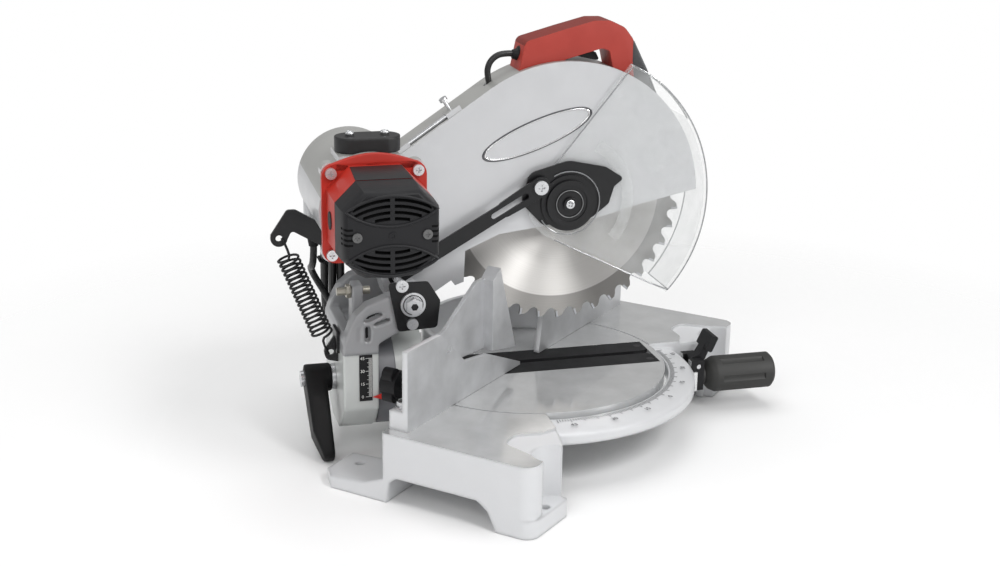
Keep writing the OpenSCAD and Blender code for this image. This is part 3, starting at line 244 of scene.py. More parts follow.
FINISHES = {
    # Slots of the record
    "base_paint": dict(colour=(214, 215, 217), rough=0.3, vary=0.012, grain=260, bumps=0.01, depth=0.0003,
                       rough_vary=0.02, coat=0.4, rounding=5.0),
    "fence_alu": dict(colour=(188, 189, 191), rough=0.33, metal=0.5, vary=0.13, grain=420, bumps=0.025,
                      rough_vary=0.045, stretch=(1, 1, 14)),
    "table_alu": dict(colour=(223, 224, 224), rough=0.125, metal=0.65, vary=0.07, grain=380, bumps=0.015,
                      rough_vary=0.045, stretch=(1, 12, 1)),
    "zinc_steel": dict(colour=(205, 206, 208), rough=0.28, metal=0.8, vary=0.08, grain=1500, bumps=0.05),
    "black_plastic": dict(colour=(20, 20, 22), rough=0.5, vary=0.15, grain=1600, bumps=0.18, edge_wear=0.2,
                          gloss=0.25),
    "pointer_red": dict(colour=(200, 40, 30), rough=0.38, bumps=0.05),
    "holder_paint": dict(colour=(150, 151, 153), rough=0.38, vary=0.05, grain=240, bumps=0.16, depth=0.0003,
                         coat=0.25, rounding=2.0),
    "scale_plate": dict(colour=(24, 24, 26), rough=0.42, vary=0.1, grain=1000, bumps=0.05, gloss=0.35),
    "black_steel": dict(colour=(20, 20, 22), rough=0.36, metal=0.1, vary=0.2, grain=700, bumps=0.1, edge_wear=0.5,
                        gloss=0.4),
    "stop_brass": dict(colour=(176, 172, 160), rough=0.35, metal=0.7, vary=0.08, grain=1200, bumps=0.05),
    "guard_paint": dict(colour=(198, 199, 201), rough=0.34, metal=0.2, vary=0.02, grain=220, bumps=0.1,
                        depth=0.0003, coat=0.3),
    "belt_rubber": dict(colour=(25, 25, 26), rough=0.75, vary=0.15, bumps=0.25),
    "machined_steel": dict(colour=(170, 172, 176), rough=0.3, metal=0.9, vary=0.08, grain=800),
    "motor_red": dict(colour=(176, 42, 30), rough=0.4, vary=0.05, grain=1300, bumps=0.12, edge_wear=0.1, gloss=0.35),
    "cap_plastic": dict(colour=(30, 30, 32), rough=0.5, vary=0.1, grain=1500, bumps=0.2, edge_wear=0.2, gloss=0.22),
    "carbon": dict(colour=(30, 30, 32), rough=0.7, vary=0.2, grain=1400, bumps=0.2),
    "cord_rubber": dict(colour=(20, 20, 21), rough=0.42, vary=0.14, bumps=0.1),
    "blade_steel": dict(colour=(180, 182, 186), rough=0.3, metal=0.9, bumps=0.06),
    # Parts of a node, and single nodes and pieces
    "cast_grey": dict(colour=(176, 178, 180), rough=0.5, metal=0.2, grain=320, bumps=0.25, depth=0.0003),
    # The holder's grey darkened: painted shade on the boss next to the holder
    "boss_paint": dict(colour=(112, 113, 117), rough=0.42, vary=0.05, grain=240, bumps=0.16, depth=0.0003, coat=0.2),
    "band_paint": dict(colour=(196, 199, 197), rough=0.36, vary=0.04, grain=240, bumps=0.14, depth=0.0003,
                       coat=0.25, rounding=2.5),
    # Darker grey for the faces of the guard that face up
    "rim_paint": dict(colour=(166, 166, 163), rough=0.36, metal=0.2, vary=0.03, grain=220, bumps=0.1, depth=0.0003,
                      coat=0.3),
    # Near-black: painted shade in the holder's slots, the pivot's socket and its groove
    "slot_dark": dict(colour=(34, 34, 36), rough=0.6, vary=0.12, grain=500, bumps=0.2, gloss=0.25),
    "screw_dark": dict(colour=(104, 104, 104), rough=0.34, metal=0.8, vary=0.1),
    "lever_plastic": dict(colour=(13, 13, 14), rough=0.5, vary=0.15, grain=1600, bumps=0.18, gloss=0.22,
                          rounding=7.0),
    "terminal_plastic": dict(colour=(36, 36, 37), rough=0.45, vary=0.12, grain=1500, bumps=0.15, gloss=0.35,
                             rounding=3.0),
    "grip_rubber": dict(colour=(54, 54, 53), rough=0.6, vary=0.12, grain=1200, bumps=0.2, gloss=0.3),
    "handle_red": dict(colour=(166, 56, 46), rough=0.46, vary=0.05, grain=1300, bumps=0.14, edge_wear=0.1,
                       gloss=0.35),
    # Darker copy of the handle red: painted shade on the handle's upward faces
    "handle_top_shade": dict(colour=(122, 40, 31), rough=0.5, vary=0.05, grain=1300, bumps=0.14, gloss=0.3),
    "cover_grey": dict(colour=(70, 71, 73), rough=0.45, vary=0.08, grain=1400, bumps=0.15, gloss=0.35),
    # Near-black: painted shade inside the cap, seen through its slots and slits
    "cap_inside_shade": dict(colour=(9, 9, 10), rough=0.8, vary=0.2, grain=800, bumps=0.1, gloss=0.1),
    "oval_chrome": dict(colour=(225, 225, 226), rough=0.16, metal=0.9, vary=0.05, bumps=0.04),
    "hub_line": dict(colour=(120, 121, 122), rough=0.35, vary=0.1, bumps=0.05),
    "white_ink": dict(colour=(225, 225, 222), rough=0.5, vary=0.04, bumps=0.05),
    # Dark grey: ink of the mitre scale, and painted shade in the groove round the guard's oval
    "ink_and_groove_shade": dict(colour=(70, 71, 74), rough=0.55, vary=0.1, bumps=0.05),
}
MATERIALS = {name: surface(name, **finish) for name, finish in FINISHES.items()}
MATERIALS["clear_plastic"] = clear_plastic("clear_plastic")
# Mostly opaque grey on the clear guard's edges: painted shade
MATERIALS["clear_edge_shade"] = clear_plastic("clear_edge_shade", rgb(150, 152, 154), 0.55, 0.75)
MATERIALS["blade_ground"] = blade_material("blade_ground")


# Modifiers that soften the construction; its own meshes stay as they are

def geometry_tree(name):
    """Geometry nodes with one geometry in and one out."""
    tree = bpy.data.node_groups.new(name, "GeometryNodeTree")
    for way in ("INPUT", "OUTPUT"):
        tree.interface.new_socket("Geometry", in_out=way, socket_type="NodeSocketGeometry")
    return tree, tree.nodes.new("NodeGroupInput").outputs[0], tree.nodes.new("NodeGroupOutput").inputs[0]


def smooth_group():
    """Geometry nodes that shade an evaluated mesh smooth, apart from its corners."""
    tree, start, end = geometry_tree("smooth_by_angle")
    drop = add_node(tree, "GeometryNodeRemoveAttribute", {"Geometry": start, "Name": "custom_normal"})
    faces = add_node(tree, "GeometryNodeSetShadeSmooth", {"Geometry": drop.outputs["Geometry"]}, domain="FACE")
    angle = tree.nodes.new("GeometryNodeInputMeshEdgeAngle").outputs["Unsigned Angle"]
    small = add_node(tree, "FunctionNodeCompare", {"A": angle, "B": math.radians(38)}, operation="LESS_THAN")
    edges = add_node(tree, "GeometryNodeSetShadeSmooth", {
        "Geometry": faces.outputs["Geometry"], "Shade Smooth": small.outputs["Result"]}, domain="EDGE")
    tree.links.new(edges.outputs["Geometry"], end)
    return tree


SMOOTH = smooth_group()


def bevel(obj, width):
    rim = obj.modifiers.new("rim", "BEVEL")
    rim.width = width * MM
    rim.segments = 2
    rim.limit_method = "ANGLE"
    rim.angle_limit = math.radians(35)


def soften(obj, width):
    """Rounds the corners of a CAD node a little."""
    obj.modifiers.new("weld", "WELD").merge_threshold = 2e-6
    if width:
        flat = obj.modifiers.new("flat", "DECIMATE")
        flat.decimate_type = "DISSOLVE"
        flat.angle_limit = math.radians(0.3)
        bevel(obj, width)
    obj.modifiers.new("smooth", "NODES").node_group = SMOOTH
    if width:
        obj.modifiers.new("even", "WEIGHTED_NORMAL").keep_sharp = True


def round_off(obj, voxel, rounds):
    """Wears every corner of a CAD node round, as on a casting."""
    skin = obj.modifiers.new("skin", "REMESH")
    skin.mode = "VOXEL"
    skin.voxel_size = voxel * MM
    skin.use_smooth_shade = True
    worn = obj.modifiers.new("worn", "SMOOTH")
    worn.factor = 0.5
    worn.iterations = rounds


def paint_where(obj, material, axis, low, high, facing):
    """Another finish for the faces between low and high along an axis, and facing along it if that is given."""
    tree, start, end = geometry_tree("finish_" + obj.name)

    def along(kind):
        value = tree.nodes.new(kind).outputs[0]
        return add_node(tree, "ShaderNodeVectorMath", {0: value, 1: axis}, operation="DOT_PRODUCT").outputs["Value"]

    def test(value, operation, limit):
        return add_node(tree, "FunctionNodeCompare", {"A": value, "B": limit}, operation=operation).outputs["Result"]

    def both(a, b):
        return add_node(tree, "FunctionNodeBooleanMath", {0: a, 1: b}, operation="AND").outputs[0]

    place = along("GeometryNodeInputPosition")
    picked = both(test(place, "GREATER_THAN", low * MM), test(place, "LESS_THAN", high * MM))
    if facing is not None:
        picked = both(picked, test(along("GeometryNodeInputNormal"), "GREATER_THAN", facing))
    change = add_node(tree, "GeometryNodeSetMaterial", {"Geometry": start, "Selection": picked, "Material": material})
    tree.links.new(change.outputs["Geometry"], end)
    obj.modifiers.new("finish", "NODES").node_group = tree


NODE_SLOT = {p["node"]: p["material_slot"] for p in frame["record"]["subparts"]}
OWN_FINISH = {"bevel_lever": "lever_plastic", "terminal_cover": "terminal_plastic", "kerf_screws": "black_steel",
              "mitre_grip": "grip_rubber"}
ROUNDED = {"bevel_lever": (1.0, 14), "arm_holder": (1.3, 5)}
SOFT_EDGE = {
    "base": 1.6, "fence": 0.6, "flip_fence": 0.6, "turntable": 0.6, "head_arm": 1.2,
    "belt_cover": 0.8, "motor_housing": 0.8, "motor_cap": 0.8, "terminal_cover": 0.8,
    "fence_knob": 0.8, "mitre_grip": 0.4, "mitre_latch": 0.5, "handle_left": 0.8, "handle_right": 0.8,
    "handle_front": 0.8, "hub_cover": 0.3, "guard_plate": 0.3, "link_plate": 0.3, "guard_link": 0.3,
    "kerf_strips": 0.3, "plug": 1.0, "trigger": 0.6, "spring_bracket": 0.3, "hook_plate": 0.3,
}
PAINTED = (
    ("base", "table_alu", UP, TABLE_Z - 0.5, TABLE_Z + 0.5, 0.9),
    ("base", "cast_grey", UP, SCALE_Z - 0.5, SCALE_Z + 0.5, 0.9),
    ("turntable", "band_paint", REARWARD, 104 + SHIFT, FAR, None),
    # Next to the holder the boss takes a darker grey: painted shade
    ("turntable", "boss_paint", REARWARD, 150 + SHIFT, FAR, None),
    ("turntable", "table_alu", UP, TABLE_Z - 0.5, TABLE_Z + 0.5, 0.9),
    ("turntable", "black_plastic", FRONTWARD, RING_OUT + 4 - SHIFT, FAR, None),
    ("fence", "base_paint", BACK, AXIS_Y + 2, FAR, None),
    ("arm_holder", "band_paint", UP, 0, 108, None),
    # The faces at the bottom of the holder's slots in near-black: painted shade
    ("arm_holder", "slot_dark", LEFTWARD, 50.5 - SHIFT, 51.5 - SHIFT, 0.9),
    # The faces of the guard above 200 mm that face up take a darker grey
    ("head_arm", "rim_paint", UP, 200, FAR, 0.3),
    ("motor_screws", "screw_dark", LEFTWARD, 160 - SHIFT, FAR, None),
)
for name, obj in NODES.items():
    slot_name = NODE_SLOT[name]
    obj.data.materials.clear()
    obj.data.materials.append(MATERIALS[OWN_FINISH.get(name, slot_name)])
    if name in ROUNDED:
        round_off(obj, *ROUNDED[name])
    else:
        soften(obj, SOFT_EDGE.get(name, 0))
for name, finish, *region in PAINTED:
    paint_where(NODES[name], MATERIALS[finish], *region)


# Pieces with more detail than the construction. A shape is a pair of vertices and faces

def add_piece(name, shape, body, slot_name, finish=None, stands_for=(), place=None, edge=0.0, smooth=True):
    """A piece that rides on a body, with the finish of its slot unless another is named."""
    verts, faces = shape
    data = bpy.data.meshes.new(name)
    data.from_pydata([tuple(v) for v in verts], [], faces)
    data.validate()
    data.materials.append(MATERIALS[finish or slot_name])
    obj = bpy.data.objects.new(name, data)
    scene.collection.objects.link(obj)
    work = bmesh.new()
    work.from_mesh(data)
    bmesh.ops.recalc_face_normals(work, faces=work.faces)
    work.to_mesh(data)
    work.free()
    if place is not None:
        obj.matrix_world = place
    if edge:
        bevel(obj, edge)
    if smooth:
        obj.modifiers.new("smooth", "NODES").node_group = SMOOTH
    if stands_for:
        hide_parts(*stands_for)
    if body:
        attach(obj, body)
    return obj


def rings(count, n, ends="capped"):
    """Faces of a tube of rings with n vertices each, whose ends are capped, open or joined."""
    spans = count if ends == "joined" else count - 1
    faces = [(k * n + i, k * n + (i + 1) % n, (k + 1) % count * n + (i + 1) % n, (k + 1) % count * n + i)
             for k in range(spans) for i in range(n)]
    if ends == "capped":
        faces += [tuple(range(n)), tuple(range(count * n - 1, (count - 1) * n - 1, -1))]
    return faces


def gather(shapes):
    """Several shapes as one."""
    verts, faces = [], []
    for more, sides in shapes:
        faces += [tuple(len(verts) + k for k in f) for f in sides]
        verts += more
    return verts, faces


def sideways(a, b, t):
    """Places an outline drawn in the head's (y, z) plane at x = t."""
    return head(t, a, b)


def prism(outline, low, high, point=sideways):
    """An outline (a, b) drawn out from low to high; point(a, b, t) places each vertex."""
    return [point(a, b, t) for t in (low, high) for a, b in outline], rings(2, len(outline))


def turned(profile, n, point, ends="capped"):
    """Circles of n vertices at each (position, radius) of a profile; point(position, a, b) places each vertex."""
    return [point(s, a, b) for s, r in profile for a, b in circle(r, n)], rings(len(profile), n, ends)


def bar(*edges):
    """A bar between long edges, given in order round its section."""
    return [p for section in zip(*edges) for p in section], rings(len(edges[0]), len(edges))


def sweep(path, section, closed=False):
    """A section, given as (side, up) pairs, carried along a path without twist."""
    path = [Vector(p) for p in path]
    n = len(path)
    tangents = []
    for i in range(n):
        a = path[i - 1] if i or closed else path[i]
        b = path[(i + 1) % n] if i < n - 1 or closed else path[i]
        tangents.append((b - a).normalized())
    side = tangents[0].orthogonal().normalized()
    verts = []
    for p, t in zip(path, tangents):
        side = (side - t * side.dot(t)).normalized()
        up = t.cross(side)
        verts += [p + side * a + up * b for a, b in section]
    return verts, rings(n, len(section), "joined" if closed else "capped")


def add_wire(name, path, radius, body, slot_name, finish=None, sides=8, closed=False, stands_for=()):
    """A round wire along a path."""
    add_piece(name, sweep(path, circle(radius * MM, sides), closed), body, slot_name, finish, stands_for)


def rectangle(a0, b0, a1, b1):
    return [(a0, b0), (a1, b0), (a1, b1), (a0, b1)]


def circle(r, n):
    return [(r * math.cos(2 * math.pi * i / n), r * math.sin(2 * math.pi * i / n)) for i in range(n)]


def fillet(points, radii, steps=5):
    """An outline with each corner rounded to its radius."""
    out = []
    n = len(points)
    for i, (p, r) in enumerate(zip(points, radii)):
        p = Vector(p)
        u = (Vector(points[i - 1]) - p).normalized()
        v = (Vector(points[(i + 1) % n]) - p).normalized()
        if not r:
            out.append(p)
            continue
        half = u.angle(v) / 2
        reach = r / math.tan(half)
        middle = p + (u + v).normalized() * (r / math.sin(half))
        first = (p + u * reach) - middle
        turn = first.angle_signed((p + v * reach) - middle)
        for k in range(steps + 1):
            a = -turn * k / steps
            out.append(middle + Vector((first.x * math.cos(a) - first.y * math.sin(a),
                                        first.x * math.sin(a) + first.y * math.cos(a))))
    return [(q.x, q.y) for q in out]


def spline(points, per):
    """Smooth line through points, with per steps between two of them."""
    pts = [Vector(p) for p in points]
    pts = [2 * pts[0] - pts[1]] + pts + [2 * pts[-1] - pts[-2]]
    out = []
    for i in range(1, len(pts) - 2):
        a, b, c, d = pts[i - 1:i + 3]
        for k in range(per):
            t = k / per
            out.append(0.5 * (2 * b + (c - a) * t + (2 * a - 5 * b + 4 * c - d) * t * t
                              + (3 * b - a - 3 * c + d) * t ** 3))
    out.append(pts[-2])
    return out


# Mains lead: gland to hank, two layers of turns, tail to the plug

GLAND = (16.0, 214.0, 221.0)
HANK_X, HANK_Z, HANK_HALF, HANK_OUT, HANK_IN = 100.5, 150.0, 30.0, 36.5, 21.2
PLUG_X, PLUG_Y = 70, 163.5


def hank_point(turn, radius, y):
    """A point on the oval of that end radius, counted in turns down the left side first."""
    u = turn % 1.0
    if u < 0.2:
        return HANK_X - radius, y, HANK_Z + HANK_HALF - 2 * HANK_HALF * u / 0.2
    if u < 0.5:
        a = math.pi * (u - 0.2) / 0.3
        return HANK_X - radius * math.cos(a), y, HANK_Z - HANK_HALF - radius * math.sin(a)
    if u < 0.7:
        return HANK_X + radius, y, HANK_Z - HANK_HALF + 2 * HANK_HALF * (u - 0.5) / 0.2
    a = math.pi * (u - 0.7) / 0.3
    return HANK_X + radius * math.cos(a), y, HANK_Z + HANK_HALF + radius * math.sin(a)


def ease(t):
    t = min(1.0, max(0.0, t))
    return t * t * (3 - 2 * t)


def cord_points():
    # Two bends across to the hank, then forward along its first strand
    gland_x, gland_y, gland_z = GLAND
    strand_x, strand_z = HANK_X - HANK_OUT, HANK_Z - HANK_HALF
    bend_z, bend = 200.0, 30.0
    drop = bend * math.sin(math.acos(1 - (strand_x - gland_x) / (2 * bend)))
    steps = 60
    out = []
    for i in range(steps + 1):
        z = gland_z - (gland_z - strand_z) * i / steps
        if z > bend_z:
            x = gland_x
        elif z > bend_z - drop:
            x = gland_x + bend - math.sqrt(bend * bend - (bend_z - z) ** 2)
        elif z > bend_z - 2 * drop:
            x = strand_x - bend + math.sqrt(bend * bend - (z - bend_z + 2 * drop) ** 2)
        else:
            x = strand_x
        out.append((x, gland_y - 27.1 * ease((178 - z) / 73), z))
    # Inward in the rear layer, outward in the front one, counted in turns
    first, inner, outward, last = 0.205, 2.11, 2.46, 5.06
    count = round((last - first) * 36)
    for i in range(count + 1):
        t = first + (last - first) * i / count
        if t < inner:
            r = HANK_OUT - 8.03 * (t - first)
        elif t < outward:
            r = HANK_IN
        else:
            r = min(HANK_OUT, HANK_IN + 7.65 * (t - outward))
        r -= 6 * ease((t - 4.88) / 0.16)
        y = 186.9 + 1.2 * (1 - ease((t - 0.2) / 0.3)) - 7.6 * ease((t - inner) / 0.35)
        out.append(hank_point(t, r, y - 16.3 * ease((t - 4.38) / 0.6)))
    out += [(PLUG_X, 163, 157), (PLUG_X, 163, 148)]
    return [head(*p) for p in out]


def plug_shape():
    """Moulded plug with its neck: rounded boxes of (z, half width, half depth, power)."""
    sections = [(156, 4.6, 4.6, 2), (150, 5.2, 5.2, 2), (147, 6.4, 7.0, 2.5), (142, 7.4, 10.5, 3),
                (136, 7.8, 12.1, 4), (122, 7.9, 12.3, 5), (116, 7.9, 12.3, 5), (112.6, 7.6, 12.0, 5),
                (112, 7.0, 11.4, 5)]
    n = 32
    verts = []
    for z, a, b, power in sections:
        for c, d in circle(1, n):
            verts.append(head(PLUG_X + math.copysign(abs(c) ** (2 / power) * a, c),
                              PLUG_Y + math.copysign(abs(d) ** (2 / power) * b, d), z))
    return verts, rings(len(sections), n)


def make_cord():
    points = cord_points()
    data = bpy.data.curves.new("mains_cord", "CURVE")
    data.dimensions = "3D"
    line = data.splines.new("POLY")
    line.points.add(len(points) - 1)
    for p, q in zip(line.points, points):
        p.co = (*q, 1)
    data.bevel_depth = 3.5 * MM
    data.bevel_resolution = 4
    data.use_fill_caps = True
    data.materials.append(MATERIALS["cord_rubber"])
    obj = bpy.data.objects.new("mains_cord", data)
    scene.collection.objects.link(obj)
    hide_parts("mains_lead", "cord_hank")
    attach(obj, "head")

    pieces = [add_piece("plug_body", plug_shape(), "head", "cord_rubber", stands_for=["plug"])]
    for i, y in enumerate((PLUG_Y - 9, PLUG_Y + 9)):
        pin = turned([(112.5, 2.4), (96, 2.4), (94.4, 1.6)], 16, lambda z, a, b: head(PLUG_X + a, y + b, z))
        pieces.append(add_piece("plug_pin_%d" % i, pin, "head", "zinc_steel"))
    # Ties round the strands of each side of the hank
    band = rectangle(-0.6 * MM, -2 * MM, 0.6 * MM, 2 * MM)
    for name, x0, x1, z in (("tie_left", 59.4, 84.0, 170.0), ("tie_right", 117.0, 141.6, 150.0)):
        loop = fillet(rectangle(x0, 174.6, x1, 191.7), [4, 4, 4, 4], 6)
        shape = sweep([head(x, y, z) for x, y in loop], band, True)
        pieces.append(add_piece(name, shape, "head", "black_plastic", edge=0.2))


make_cord()


# Lead from the handle into the guard, held at both ends, and its bush

def make_handle_lead():
    x, bush_z = 2, 382.6
    foot = BLADE_Z + math.sqrt(GUARD_R ** 2 - 73 ** 2) - 3
    route = [(14, 382.5), (25, 383.5), (35, 382), (42, 376.5), (45, 369), (44.6, 361), (43, foot)]
    add_wire("handle_cord", spline([head(x, *p) for p in route], 8), 3, "head", "cord_rubber", sides=16,
             stands_for=["handle_lead"])
    profile = [(11, 8.2), (14.2, 8.2), (15.4, 7.4), (15.6, 6.0), (20.5, 4.6), (21.5, 3.6)]
    bush = turned(profile, 24, lambda y, a, b: head(x + a, y, bush_z + b))
    add_piece("handle_bush", bush, "head", "black_plastic")


make_handle_lead()


# Return spring, which stretches between its two eyes

def make_spring():
    top, low = Vector((252, 219)), Vector((205, 102))
    u = (low - top).normalized()
    n = Vector((-u.y, u.x))
    span = (low - top).length
    x0, leg, turns, per_turn = -22.0, 20.0, 18, 18
    eye_r, coil_r = 3.75, 9.75

    def at(s, angle, r):
        q = top + u * s + n * r * math.sin(angle)
        return head(x0 - r * math.cos(angle), q.x, q.y)

    def hook(f, way):
        """The leg at an end, from its eye at f = 0 to the coil at f = 1."""
        return math.radians(way * (40 - 30 * f)), eye_r + (coil_r - eye_r) * f

    rise = (0, 0.3, 0.6, 0.85)
    steps = turns * per_turn
    line = [at(leg * f, *hook(f, -1)) for f in rise]
    line += [at(leg + (span - 2 * leg) * i / steps, 2 * math.pi * i / per_turn, coil_r) for i in range(steps + 1)]
    line += [at(span - leg * f, *hook(f, 1)) for f in rise[::-1]]
    obj = add_piece("spring_wire", sweep(line, circle(1.25 * MM, 8)), None, "black_steel",
                    stands_for=["return_spring"], smooth=False)
    for poly in obj.data.polygons:
        poly.use_smooth = True
    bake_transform(obj)


make_spring()


# Handle halves with chamfered flanks, and the wedge shaped cover in front

def handle_points(*offsets):
    """Points given from the top of the guard's rim."""
    return [(BLADE_Y + a, BLADE_Z + GUARD_R + b) for a, b in offsets]


def handle_outline():
    outer = fillet(handle_points((51, -22), (42.5, 19), (5, 29.5), (-26, 37.6), (-42, 37.4), (-57, 30.5), (-66, 19),
                                 (-66, -2), (-71, -40)), [3, 7, 30, 14, 12, 14, 5, 10, 3])
    finger = fillet(handle_points((3, -8), (3.6, 0.4), (-34, 10.6), (-42, 8.6), (-47, -12), (-40, -24)),
                    [0, 3, 5, 4, 3, 0])

    def outside(line):
        """The stretch of a line outside the guard's rim, cut at the rim."""
        out = []
        for a, b in zip(line, line[1:]):
            ra, rb = (math.hypot(q[0] - BLADE_Y, q[1] - BLADE_Z) - GUARD_R for q in (a, b))
            if ra > 0:
                out.append(a)
            if ra * rb < 0:
                f = ra / (ra - rb)
                out.append((a[0] + f * (b[0] - a[0]), a[1] + f * (b[1] - a[1])))
        return out

    def along_rim(a, b):
        t0, t1 = (math.atan2(q[1] - BLADE_Z, q[0] - BLADE_Y) for q in (a, b))
        return [(BLADE_Y + GUARD_R * math.cos(t0 + (t1 - t0) * k / 5),
                 BLADE_Z + GUARD_R * math.sin(t0 + (t1 - t0) * k / 5)) for k in range(1, 5)]

    over, under = outside(outer), outside(finger)[::-1]
    return over + along_rim(over[-1], under[0]) + under + along_rim(under[-1], over[0])


def chamfer_flank(obj, flank, width):
    """Bevels the edges that lie on the plane at x = flank of the head frame."""
    work = bmesh.new()
    work.from_mesh(obj.data)
    work.verts.ensure_lookup_table()
    far = [abs((v.co.x + v.co.y - AXIS_Y * MM) * COS45 - flank * MM) < 1e-5 for v in work.verts]
    edges = [e for e in work.edges if all(far[v.index] for v in e.verts)]
    bmesh.ops.bevel(work, geom=edges, offset=width * MM, segments=3, profile=0.6, affect="EDGES", clamp_overlap=True)
    work.to_mesh(obj.data)
    work.free()


def make_handle():
    outline = handle_outline()
    for name, seam, flank in (("handle_left", 1.9, -15.0), ("handle_right", 2.1, 19.0)):
        obj = add_piece(name + "_shell", prism(outline, seam, flank), "head", "motor_red", "handle_red", [name])
        chamfer_flank(obj, flank, 4.6)
        # Faces that look up get the darker red: painted shade, as the top is lit less
        obj.data.materials.append(MATERIALS["handle_top_shade"])
        for poly in obj.data.polygons:
            if poly.normal.z > 0.3:
                poly.material_index = 1
    wedge = fillet(handle_points((-71.6, -40), (-66.3, -2), (-66.3, 18.6), (-69, 16), (-83, -11), (-95, -37),
                                 (-91, -40)), [0, 0, 0, 2, 20, 3, 0], 4)
    add_piece("handle_cover", prism(wedge, -11.5, 15.5), "head", "black_plastic", "cover_grey", ["handle_front"],
              edge=2.0)


make_handle()


# Blade: forty teeth with brazed tips, drawn round its axis

def make_blade():
    teeth, outer, half, tip_half = 40, 127.5, 1.2, 1.55
    tooth = [(0.0, 0.0), (0.05, -4.5), (0.1, -8.5), (0.2, -9.8), (0.3, -10.0), (0.42, -9.2), (0.52, -7.5),
             (0.6, -4.5), (0.72, -1.6), (0.88, -0.8)]
    tip = ((127.6, -0.2), (127.3, -2.0), (121.0, -1.2), (121.0, 1.1))

    def polar(r, a, t):
        return r * math.cos(a) * MM, r * math.sin(a) * MM, t * MM

    pitch = 2 * math.pi / teeth
    edge = [(outer + d, pitch * (i + f)) for i in range(teeth) for f, d in tooth]
    loops = [edge] + [[(r, a) for _, a in edge] for r in (112.0, 80.0, 45.0, 12.7)]
    verts = [polar(r, a, t) for t, order in ((-half, loops), (half, loops[::-1])) for loop in order for r, a in loop]
    place = HEAD_FRAME @ Matrix(((0, 0, 1, 0), (1, 0, 0, BLADE_Y * MM), (0, 1, 0, BLADE_Z * MM), (0, 0, 0, 1)))
    add_piece("blade_disc", (verts, rings(2 * len(loops), len(edge), "joined")), "blade", "blade_steel",
              "blade_ground", ["blade"], place)
    tips = [prism([(r, pitch * i + d / outer) for r, d in tip], -tip_half, tip_half, polar) for i in range(teeth)]
    add_piece("blade_tips", gather(tips), "blade", "machined_steel", place=place, smooth=False)


make_blade()


# Raised oval rim on the guard, left bare inside, with a dark line round it as painted shade in its groove

def make_emblem():
    middle, a, b = Vector((0.5, 308.3)), Vector((-51.3, 14.3)), Vector((-15.3, 19.5))

    def oval(scale):
        return [sideways(*(middle + (a * c + b * d) * scale), -21) for c, d in circle(1, 96)]

    add_wire("guard_oval", oval(0.97), 1.0, "head", "zinc_steel", "oval_chrome", 10, True)
    # Dark line just outside the rim: painted shade of a groove
    add_wire("guard_oval_line", oval(1.01), 1.0, "head", "black_plastic", "ink_and_groove_shade", 8, True)


make_emblem()


# Scale marks: plain ticks and numbers

def label(name, text, size, place, finish, body):
    data = bpy.data.curves.new(name, "FONT")
    data.body = text
    data.size = size * MM
    data.align_x = "CENTER"
    data.align_y = "CENTER"
    data.extrude = 0.08 * MM
    data.materials.append(MATERIALS[finish])
    obj = bpy.data.objects.new(name, data)
    scene.collection.objects.link(obj)
    obj.matrix_world = place
    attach(obj, body)


def make_bevel_scale():
    edge_y, number_y, zero_z, step, half = 170.6, 179.8, 65.5, 0.87, 0.16
    ticks = []
    for degree in range(46):
        reach = 6.2 if degree % 15 == 0 else 4.6 if degree % 5 == 0 else 3.2
        z = zero_z + degree * step
        ticks.append(prism(rectangle(edge_y, z - half, edge_y + reach, z + half), -55.55, -55.25))
    add_piece("bevel_marks", gather(ticks), "arm_holder", "scale_plate", "white_ink", smooth=False)
    facing = HEAD_FRAME.to_3x3() @ Matrix(((0, 0, -1), (-1, 0, 0), (0, 1, 0)))
    for degree in range(0, 46, 15):
        place = facing.to_4x4()
        place.translation = head(-55.45, number_y, zero_z + degree * step)
        label("bevel_number_%d" % degree, str(degree), 4.2, place, "white_ink", "arm_holder")


def make_mitre_scale():
    inner, number_r, half = 146.5, 160.5, 0.22 / 150

    def on_ring(r, a, z):
        return Vector((r * math.sin(a), AXIS_Y - r * math.cos(a), z)) * MM

    ticks = []
    for degree in range(-50, 51):
        a = math.radians(degree)
        reach = 154.0 if degree % 5 == 0 else 151.0
        ticks.append(prism(rectangle(inner, a - half, reach, a + half), SCALE_Z - 0.1, SCALE_Z + 0.12, on_ring))
    add_piece("mitre_marks", gather(ticks), "base", "base_paint", "ink_and_groove_shade", smooth=False)
    for degree in range(-45, 46, 15):
        place = Matrix.Rotation(math.radians(degree), 4, "Z")
        place.translation = on_ring(number_r, math.radians(degree), SCALE_Z + 0.06)
        label("mitre_number_%d" % (degree + 45), str(abs(degree)), 7.0, place, "ink_and_groove_shade", "base")


make_bevel_scale()
make_mitre_scale()


# Motor cap: front with two lens shaped groups of slots, and the parts round it

def lens(half, rise, fall, n=24):
    """Outline of a lens between two arcs over the same chord, first along the top, then back along the bottom."""
    out = []
    for side, first in ((rise, 1), (-fall, -1)):
        r = (half * half + side * side) / (2 * abs(side))
        span = math.asin(half / r)
        for k in range(n):
            t = first * (-span + 2 * span * k / n)
            out.append((r * math.sin(t), side - math.copysign(r * (1 - math.cos(t)), side)))
    return out


